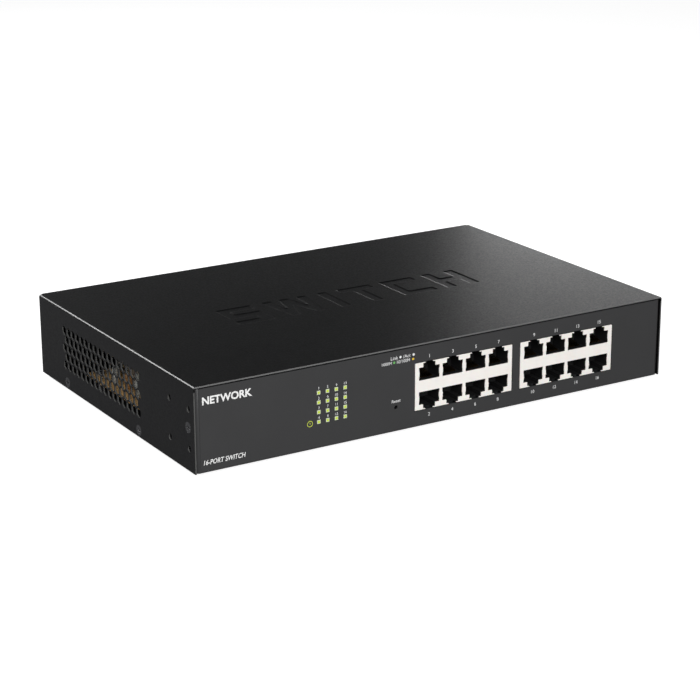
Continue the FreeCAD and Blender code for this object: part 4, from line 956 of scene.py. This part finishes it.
def lettering(text: str, height: float, spot: tuple[float, float], face: float, thickness: float,
              width: float | None = None, slant: float = 0.0, anchor: Anchor = Anchor.MIDDLE,
              weight: float = 0.0) -> Surface:
    """A line of lettering on the panel, as thin solid strokes.

    Args:
        text: what it says.
        height: height of its highest stroke above its lowest.
        spot: x of its anchor and z of its middle.
        face: y of the back of the strokes.
        thickness: how far they stand forward.
        width: full width, or None to keep the face's own proportions.
        slant: sideways lean for each unit of height.
        anchor: which end stands on the spot.
        weight: how much bolder the strokes are, in units of the text's size.

    Returns:
        The closed strokes; x = s (u + slant v), z = s v, for u and v in the type's own plane.
    """
    curve = bpy.data.curves.new("line", "FONT")
    curve.body = text
    curve.extrude = 0.5
    curve.offset = weight
    curve.resolution_u = 3
    holder = bpy.data.objects.new("line", curve)
    bpy.context.scene.collection.objects.link(holder)
    bpy.context.view_layer.update()
    solid = bpy.data.meshes.new_from_object(holder.evaluated_get(bpy.context.evaluated_depsgraph_get()))
    flat = read(solid.vertices, "co", 3)
    faces = [tuple(polygon.vertices) for polygon in solid.polygons]
    bpy.data.objects.remove(holder)
    bpy.data.curves.remove(curve)
    bpy.data.meshes.remove(solid)
    flat[:, 0] += slant * flat[:, 1]
    low, high = flat.min(0), flat.max(0)
    scale = height / (high[1] - low[1])
    stretch = scale if width is None else width / (high[0] - low[0])
    points = np.zeros_like(flat)
    points[:, 0] = spot[0] + stretch * (flat[:, 0] - low[0] - anchor.value * (high[0] - low[0]))
    points[:, 1] = face - thickness * (flat[:, 2] + 0.5)
    points[:, 2] = spot[1] + scale * (flat[:, 1] - (low[1] + high[1]) / 2)
    return Surface(points, faces)


def middle(node: str) -> Vector:
    """Middle of a node's box."""
    low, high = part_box(node)
    return (low + high) / 2


def lamp_half() -> float:
    """Half the width of one lamp, as a row is one lamp wider than its pitches."""
    low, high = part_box("led_lenses")
    return (high.x - low.x - (LAMP_ROWS - 1) * LAMP_PITCH) / 2


# ---------------------------------------------------------------------------
# Sub-assemblies
# ---------------------------------------------------------------------------


@dataclass
class Case:
    """Folded tray and lid, front film, feet and fasteners."""

    edge: float = 0.10 * MM
    film_edge: float = 0.04 * MM
    foot_edge: float = 0.2 * MM
    screw_edge: float = 0.08 * MM
    word_sink: float = 0.3 * MM
    word_slope: float = 1.1 * MM
    word_reach: float = 120 * MM
    floor_within: float = 0.02 * MM
    upright_below: float = 0.2
    level_above: float = 0.9998
    smooth_below: float = math.radians(12)

    def build(self) -> None:
        """Makes the case's pieces."""
        lid = refined("lid_shell", "top_cover", BLACK_COAT, self.edge)
        self.slope_word(lid.data)
        refined("tray_shell", "base_chassis", TRAY_COAT, self.edge)
        refined("panel_film_sheet", "front_film", GREY_FILM, self.film_edge)
        refined("feet", "rubber_feet", FOOT_RUBBER, self.foot_edge)
        refined("lid_screws", "cover_screws", SCREW_BLACK, self.screw_edge)
        for node in ("cover_nuts", "bracket_nuts"):
            dress(node, ZINC)

    def slope_word(self, mesh: bpy.types.Mesh) -> None:
        """Slopes the upright sides of the pressed word, as a press leaves them.

        Each point of the word's floor moves along n d c S / |S|^2, where S is the sum of the c
        upright faces' normals at that point and d the run of the slope.

        Args:
            mesh: the lid's mesh.
        """
        places = read(mesh.vertices, "co", 3)
        corners = read(mesh.loops, "vertex_index", kind=int)
        sizes = read(mesh.polygons, "loop_total", kind=int)
        normals = np.repeat(read(mesh.polygons, "normal", 3), sizes, axis=0)
        upright = np.abs(normals[:, 2]) < self.upright_below
        total, faces = np.zeros_like(places), np.zeros(len(places))
        np.add.at(total, corners[upright], normals[upright])
        np.add.at(faces, corners[upright], 1.0)
        top = places[:, 2].max()
        floor = (np.abs(places[:, 2] - top + self.word_sink) < self.floor_within) & (faces > 0)
        floor &= np.abs(places[:, 0]) < self.word_reach
        square = (total[floor] ** 2).sum(1)[:, None] + TINY
        places[floor] += self.word_slope * faces[floor][:, None] * total[floor] / square
        mesh.vertices.foreach_set("co", places.ravel())
        if "custom_normal" in mesh.attributes:
            mesh.attributes.remove(mesh.attributes["custom_normal"])
        mesh.polygons.foreach_set("use_smooth", [True] * len(mesh.polygons))
        mesh.set_sharp_from_angle(angle=self.smooth_below)
        mesh.update()
        self.part_level_faces(mesh)

    def part_level_faces(self, mesh: bpy.types.Mesh) -> None:
        """Parts the level faces from the slopes beside them, so that no slope shades a flat.

        An edge is sharp when one face at it is level, with |n_z| near 1, and the other isn't.

        Args:
            mesh: the lid's mesh.
        """
        edges = read(mesh.loops, "edge_index", kind=int)
        sizes = read(mesh.polygons, "loop_total", kind=int)
        level = np.repeat(np.abs(read(mesh.polygons, "normal", 3)[:, 2]) > self.level_above, sizes)
        level_at, other_at = (np.zeros(len(mesh.edges), bool) for _ in range(2))
        level_at[edges[level]] = True
        other_at[edges[~level]] = True
        sharp = mesh.attributes.get("sharp_edge") or mesh.attributes.new("sharp_edge", "BOOLEAN", "EDGE")
        kept = read(sharp.data, "value", kind=bool)
        sharp.data.foreach_set("value", kept | (level_at & other_at))
        mesh.update()


@dataclass
class PortBlocks:
    """Two blocks of eight jacks: face plates, housings, carriers and contacts."""

    lip: float = 0.16 * MM

    def build(self) -> None:
        """Makes both blocks."""
        for side in ("left", "right"):
            refined(f"jack_plate_{side}", f"jack_face_{side}", CREAM, self.lip)
            dress(f"jack_block_{side}", BLACK_PLASTIC)
            dress(f"contact_carriers_{side}", BLACK_PLASTIC)
            dress(f"jack_contacts_{side}", SHADED_GOLD)


@dataclass
class Print:
    """Numbers, labels and signs printed on the film.

    A word is given by its middle's height over the floor, its own height and its width.
    """

    thickness: float = 0.02 * MM
    lift: float = 0.004 * MM
    port_pitch: float = 14.05 * MM
    first_port: float = 8.45 * MM
    port_gap: float = 2.9 * MM
    port_size: float = 1.8 * MM
    lamp_size: float = 1.35 * MM
    lamp_rise: float = 2.3 * MM
    lower_drop: float = 0.2 * MM
    label_rises: tuple[float, float] = (5.1 * MM, 2.8 * MM)
    dot_radius: float = 0.62 * MM
    lean: float = 0.22
    weight: float = 0.012
    bold: float = 0.03
    sign_radius: float = 1.62 * MM
    sign_stroke: float = 0.38 * MM
    sign_drop: float = 0.1 * MM
    sign_bar: tuple[float, float] = (-0.15 * MM, 0.75 * MM)
    word_inset: float = 1.6 * MM
    upper_word: tuple[float, float, float] = (37.85 * MM, 4.0 * MM, 26.6 * MM)
    lower_word: tuple[float, float, float] = (7.0 * MM, 2.5 * MM, 22.6 * MM)

    @property
    def face(self) -> float:
        """y where the ink starts, just proud of the film."""
        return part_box("front_film")[0].y - self.lift

    def build(self) -> None:
        """Makes every printed piece."""
        self.port_numbers()
        self.lamp_numbers()
        self.labels()
        self.dots()
        self.power_sign()
        self.words()

    def write(self, text: str, height: float, spot: tuple[float, float], **options: object) -> Surface:
        """A line of lettering on the film."""
        options.setdefault("weight", self.weight)
        return lettering(text, height, spot, self.face, self.thickness, **options)

    def port_numbers(self) -> None:
        """Odd numbers above the blocks and even numbers below them."""
        ink = Surface.empty()
        for block, side in enumerate(("left", "right")):
            low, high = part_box(f"jack_face_{side}")
            above, below = high.z + self.port_gap, low.z - self.port_gap - self.lower_drop
            for column in range(PORT_COLUMNS):
                x = low.x + self.first_port + column * self.port_pitch
                number = 2 * (PORT_COLUMNS * block + column) + 1
                ink.add(self.write(str(number), self.port_size, (x, above)))
                ink.add(self.write(str(number + 1), self.port_size, (x, below)))
        piece("print_port_numbers", ink.mesh("print_port_numbers"), LABEL_INK)

    def lamp_numbers(self) -> None:
        """A number over each lamp, counted down the columns."""
        low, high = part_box("led_lenses")
        half = lamp_half()
        ink = Surface.empty()
        for place in range(LAMP_ROWS * LAMP_ROWS):
            column, row = divmod(place, LAMP_ROWS)
            x = low.x + half + column * LAMP_PITCH
            z = high.z - half - row * LAMP_PITCH + self.lamp_rise
            ink.add(self.write(str(place + 1), self.lamp_size, (x, z)))
        piece("print_lamp_numbers", ink.mesh("print_lamp_numbers"), LABEL_INK)

    def label_rows(self) -> tuple[float, float, float]:
        """Where the labels and dots over the left block stand.

        Returns:
            x of the block's left edge, and z of the first and second row.
        """
        low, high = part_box("jack_face_left")
        first, second = self.label_rises
        return low.x, high.z + first, high.z + second

    def labels(self) -> None:
        """Labels of the lamps' colours and of the reset hole."""
        reset = middle("reset_plunger")
        corner, first, second = self.label_rows()
        lines = (("Link", 1.75, 4.3, -14.4, first), ("/Act", 1.75, 4.4, -7.2, first),
                 ("1000M", 1.55, 5.8, -19.6, second), ("10/100M", 1.75, 7.6, -10.8, second))
        ink = Surface.empty()
        for text, height, width, start, z in lines:
            ink.add(self.write(text, height * MM, (corner + start * MM, z), width=width * MM,
                               anchor=Anchor.LEFT))
        ink.add(self.write("Reset", 1.6 * MM, (reset.x, reset.z + 3.4 * MM), width=5.2 * MM))
        piece("print_labels", ink.mesh("print_labels"), LABEL_INK)

    def dots(self) -> None:
        """Coloured dots beside the labels, and the rayed mark of the blinking lamp."""
        corner, first, second = self.label_rows()
        marks = (("print_dot_link", WHITE_INK, -8.75, first, 0.0),
                 ("print_mark_act", WHITE_INK, -1.0, first, 0.3),
                 ("print_dot_fast", GREEN_INK, -12.4, second, 0.0),
                 ("print_dot_slow", AMBER_INK, -1.3, second, 0.0))
        for name, finish, start, z, star in marks:
            outline = disc((corner + start * MM, z), self.dot_radius, star)
            piece(name, plate(outline, self.face, self.thickness).mesh(name), finish)

    def power_sign(self) -> None:
        """A ring with an upright bar, over the power lamp."""
        lamp = middle("power_light_pipe")
        spot = (lamp.x, lamp.z - self.sign_drop)
        inner = self.sign_radius - self.sign_stroke
        sign = annulus(spot, inner, self.sign_radius, self.face, self.thickness)
        half = self.sign_stroke / 2
        low, high = (spot[1] + rise for rise in self.sign_bar)
        bar = np.array([(spot[0] - half, low), (spot[0] + half, low), (spot[0] + half, high),
                        (spot[0] - half, high)])
        sign.add(plate(bar, self.face, self.thickness))
        piece("print_power_sign", sign.mesh("print_power_sign"), POWER_INK)

    def words(self) -> None:
        """A plain word at the upper left and the number of ports at the lower left."""
        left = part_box("front_film")[0].x + self.word_inset
        rise, height, width = self.upper_word
        ink = self.write("NETWORK", height, (left, rise), width=width, weight=self.bold, anchor=Anchor.LEFT)
        rise, height, width = self.lower_word
        ink.add(self.write("16-PORT SWITCH", height, (left, rise), width=width, slant=self.lean,
                           anchor=Anchor.LEFT))
        piece("print_words", ink.mesh("print_words"), WHITE_INK)


@dataclass
class Lamps:
    """Lamp lenses, their holder and wires, the power lamp and the reset switch."""

    lens_edge: float = 0.14 * MM
    sign_reach: float = 1.6 * MM
    sign_strength: float = 0.2

    def build(self) -> None:
        """Makes the lamp pieces."""
        low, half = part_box("led_lenses")[0], lamp_half()
        lit = LitLens("lit_lens", (0.50, 0.56, 0.38), "lamp_green", first=(low.x + half, low.z + half),
                      reach=half)
        refined("lamp_lenses", "led_lenses", lit, self.lens_edge)
        sign = middle("power_light_pipe")
        pipe = LitLens("power_lamp", (0.20, 0.26, 0.05), "lamp_green", first=(sign.x, sign.z),
                       reach=self.sign_reach, strength=self.sign_strength)
        dress("power_light_pipe", pipe)
        dress("led_holder", BLACK_PLASTIC)
        dress("led_leads", TINNED)
        dress("reset_switch_body", BLACK_PLASTIC)
        dress("reset_switch_frame", ZINC)
        dress("reset_dome", NICKEL)
        dress("reset_plunger", BLACK_PLASTIC)


@dataclass
class MainBoard:
    """Main circuit board with its parts."""

    def build(self) -> None:
        """Dresses the board and its parts."""
        finishes = {"main_board": SHADE_BLACK_BOARD, "board_standoffs": ZINC, "board_screws": ZINC,
                    "port_magnetics": CHIP_EPOXY, "switch_chip": CHIP_EPOXY, "switch_heatsink": ALUMINIUM,
                    "phy_chips": CHIP_EPOXY, "flash_chip": CHIP_EPOXY, "clock_crystal": NICKEL,
                    "power_inductors": FERRITE, "board_power_header": WHITE_NYLON, "dc_cable": DC_RED,
                    "board_capacitors": CAN_SLEEVE}
        for node, finish in finishes.items():
            dress(node, finish)


@dataclass
class Supply:
    """Power supply board behind the left vent, with its parts and leads."""

    leg_radius: float = 0.3 * MM
    leg_sink: float = 0.3 * MM
    leg_spread: float = 0.5
    leg_reach: float = 0.7

    def build(self) -> None:
        """Dresses the supply and makes the small parts at its edge."""
        finishes = {"psu_insulator": SUPPLY_FILM, "psu_board": SUPPLY_BOARD, "psu_standoffs": ZINC,
                    "psu_screws": ZINC, "mains_header": WHITE_NYLON, "fuse_tube": FUSE_GLASS,
                    "fuse_clips": NICKEL, "x_capacitor": CAP_YELLOW, "common_mode_choke": FERRITE,
                    "transformer_core": FERRITE, "transformer_winding": CORE_TAPE,
                    "switching_heatsink": ALUMINIUM, "switching_transistor": CHIP_EPOXY,
                    "psu_output_header": WHITE_NYLON, "mains_leads": MAINS_BLACK,
                    "earth_lead": EARTH_STRIPE, "earth_lug": NICKEL, "earth_screws": ZINC,
                    "bulk_capacitor": CAN_SLEEVE, "output_capacitors": CAN_SLEEVE}
        for node, finish in finishes.items():
            dress(node, finish)
        self.small_parts()

    def small_parts(self) -> None:
        """Small parts along the board's left edge, each a rounded body on two legs.

        A row gives their places from the board's corner, a body's half sizes and its middle's
        height over the board, in millimetres. Each leg stands leg_spread of the half depth from the
        middle and ends leg_reach of the half height below it.
        """
        low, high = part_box("psu_board")
        rows = (("supply_film_capacitors", ORANGE_FILM, ((6.0, 12.0), (5.0, 19.5), (6.5, 47.0)),
                 (1.9, 3.0, 4.0), 5.2),
                ("supply_resistors", PALE_LACQUER, ((4.5, 27.5), (4.5, 32.0), (8.5, 40.0), (4.0, 58.0)),
                 (1.3, 1.3, 4.2), 6.5),
                ("supply_surge_disc", GREEN_LACQUER, ((7.5, 5.5),), (1.5, 4.2, 4.4), 9.5))
        for name, finish, spots, half, rise in rows:
            bodies = Surface.empty()
            for right, back in spots:
                centre = (low.x + right * MM, low.y + back * MM, high.z + rise * MM)
                bodies.add(rounded(centre, tuple(size * MM for size in half)))
                for side in (-self.leg_spread, self.leg_spread):
                    depth = centre[1] + side * half[1] * MM
                    foot = np.array([centre[0], depth, high.z - self.leg_sink])
                    top = np.array([centre[0], depth, centre[2] - half[2] * self.leg_reach * MM])
                    bodies.add(swept(np.linspace(foot, top, 3), self.leg_radius))
            piece(name, bodies.mesh(name, smooth=True), finish)


@dataclass
class Rear:
    """Mains inlet and earth point."""

    housing_edge: float = 0.25 * MM

    def build(self) -> None:
        """Makes the rear pieces."""
        refined("inlet_housing", "ac_inlet", INLET_BLACK, self.housing_edge)
        dress("inlet_blades", NICKEL)
        dress("inlet_screws", ZINC)
        dress("ground_screw", ZINC)


@dataclass(frozen=True)
class SoftBox:
    """A rectangular light that the camera doesn't see, with its size in metres and power in watts."""

    name: str
    spot: tuple[float, float, float]
    aim: tuple[float, float, float]
    size: tuple[float, float]
    power: float

    def hang(self) -> None:
        """Hangs the light on its spot and turns it to its aim."""
        data = bpy.data.lights.new(self.name, "AREA")
        data.shape = "RECTANGLE"
        data.size, data.size_y = self.size
        data.energy = self.power
        holder = bpy.data.objects.new(self.name, data)
        bpy.context.scene.collection.objects.link(holder)
        heading = Vector(self.aim) - Vector(self.spot)
        turn = heading.to_track_quat("-Z", "Y").to_matrix().to_4x4()
        turn.translation = Vector(self.spot)
        holder.matrix_world = turn
        holder.visible_camera = False


# In front, low behind, a strip at the rear left, one at the left and one above.
SOFT_BOXES = (
    SoftBox("front_box", (-0.45, -1.5, 0.85), (0, -0.05, 0.02), (1.4, 0.9), 34),
    SoftBox("rear_box", (0.76, 0.60, 0.17), (0.12, 0.02, 0.045), (0.45, 0.12), 0.75),
    SoftBox("low_bar", (0.30, 0.62, 0.14), (0.0, 0.0, 0.045), (0.7, 0.06), 0.05),
    SoftBox("left_strip", (-0.42, 0.95, 0.66), (-0.14, 0.0, 0.045), (0.6, 0.35), 11),
    SoftBox("side_box", (-1.1, -0.35, 0.75), (-0.13, 0.0, 0.02), (0.5, 0.5), 4),
    SoftBox("top_box", (0.0, -0.2, 1.5), (0, 0, 0.04), (0.9, 0.9), 1.5),
)


@dataclass
class Studio:
    """Camera, lights, floor and backdrop."""

    azimuth: float = math.radians(-31.333)
    elevation: float = math.radians(18.037)
    roll: float = math.radians(-0.2235)
    distance: float = 1.10395
    shift_right: float = 0.310 * MM
    shift_up: float = -8.333 * MM
    lens: float = 105.63
    sensor: float = 36.0
    near_limit: float = 0.01
    case_depth: float = 180 * MM
    floor_half: float = 3.0
    faint_colour: tuple[float, ...] = (0.9, 0.95, 1.0, 1.0)
    faint_strength: float = 0.018
    white: tuple[float, ...] = (1.0, 1.0, 1.0, 1.0)
    paper_glow: float = 0.86
    paper_pale: tuple[float, ...] = (0.45, 0.45, 0.45, 1.0)
    paper_dim: tuple[float, ...] = (0.16, 0.16, 0.165, 1.0)

    def build(self) -> None:
        """Makes the whole studio."""
        self.camera()
        self.backdrop()
        for box in SOFT_BOXES:
            box.hang()
        view = bpy.context.scene.view_settings
        view.view_transform = "Standard"
        view.look = "None"

    def camera(self) -> None:
        """Camera looking at the middle of the case; its axes follow azimuth, elevation and roll."""
        low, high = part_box("top_cover")
        target = Vector(((low.x + high.x) / 2, low.y + self.case_depth / 2, (low.z + high.z) / 2))
        level = math.cos(self.elevation)
        back = Vector((math.sin(self.azimuth) * level, -math.cos(self.azimuth) * level,
                       math.sin(self.elevation)))
        right = Vector((math.cos(self.azimuth), math.sin(self.azimuth), 0.0))
        up = back.cross(right)
        across = math.cos(self.roll) * right + math.sin(self.roll) * up
        upright = -math.sin(self.roll) * right + math.cos(self.roll) * up
        data = bpy.data.cameras.new("camera")
        data.lens = self.lens
        data.sensor_width = self.sensor
        data.clip_start = self.near_limit
        holder = bpy.data.objects.new("camera", data)
        bpy.context.scene.collection.objects.link(holder)
        place = Matrix((across, upright, back)).transposed().to_4x4()
        place.translation = (target + back * self.distance + across * self.shift_right
                             + upright * self.shift_up)
        holder.matrix_world = place
        bpy.context.scene.camera = holder

    def backdrop(self) -> None:
        """Pale floor, and a world that shows white but lights the case only faintly."""
        half = self.floor_half
        ground = Surface(np.array([(-half, -half, 0.0), (half, -half, 0.0), (half, half, 0.0),
                                   (-half, half, 0.0)]), [(0, 1, 2, 3)])
        floor = bpy.data.objects.new("floor", ground.mesh("floor"))
        bpy.context.scene.collection.objects.link(floor)
        floor.data.materials.append(self.paper())
        world = bpy.data.worlds.new("backdrop")
        bpy.context.scene.world = world
        world.use_nodes = True
        tree = world.node_tree
        tree.nodes.clear()
        seen = tree.nodes.new("ShaderNodeLightPath").outputs["Is Camera Ray"]
        faint, white = (tree.nodes.new("ShaderNodeBackground") for _ in range(2))
        faint.inputs["Color"].default_value = self.faint_colour
        faint.inputs["Strength"].default_value = self.faint_strength
        white.inputs["Color"].default_value = self.white
        white.inputs["Strength"].default_value = 1.0
        choice = tree.nodes.new("ShaderNodeMixShader")
        output = tree.nodes.new("ShaderNodeOutputWorld")
        tree.links.new(seen, choice.inputs[0])
        tree.links.new(faint.outputs[0], choice.inputs[1])
        tree.links.new(white.outputs[0], choice.inputs[2])
        tree.links.new(choice.outputs[0], output.inputs["Surface"])

    def paper(self) -> bpy.types.Material:
        """White paper that glows a little, so that it reads as a lit sweep with a faint shadow.

        Returns:
            The material, which lights the case less than the camera sees.
        """
        material = bpy.data.materials.new("paper")
        material.use_nodes = True
        tree = material.node_tree
        tree.nodes.clear()
        seen = tree.nodes.new("ShaderNodeLightPath").outputs["Is Camera Ray"]
        glow = tree.nodes.new("ShaderNodeEmission")
        glow.inputs["Strength"].default_value = self.paper_glow
        pale, dim = (tree.nodes.new("ShaderNodeBsdfDiffuse") for _ in range(2))
        pale.inputs["Color"].default_value = self.paper_pale
        dim.inputs["Color"].default_value = self.paper_dim
        both = tree.nodes.new("ShaderNodeAddShader")
        choice = tree.nodes.new("ShaderNodeMixShader")
        output = tree.nodes.new("ShaderNodeOutputMaterial")
        tree.links.new(glow.outputs[0], both.inputs[0])
        tree.links.new(pale.outputs[0], both.inputs[1])
        tree.links.new(seen, choice.inputs[0])
        tree.links.new(dim.outputs[0], choice.inputs[1])
        tree.links.new(both.outputs[0], choice.inputs[2])
        tree.links.new(choice.outputs[0], output.inputs["Surface"])
        return material


def main() -> None:
    """Builds the sub-assemblies in order."""
    logging.basicConfig(level=logging.INFO, format="%(name)s %(message)s")
    for part in (Studio(), Case(), PortBlocks(), Lamps(), Print(), MainBoard(), Supply(), Rear()):
        part.build()
        LOG.info("%s done", type(part).__name__)


if __name__ == "__main__":
    main()
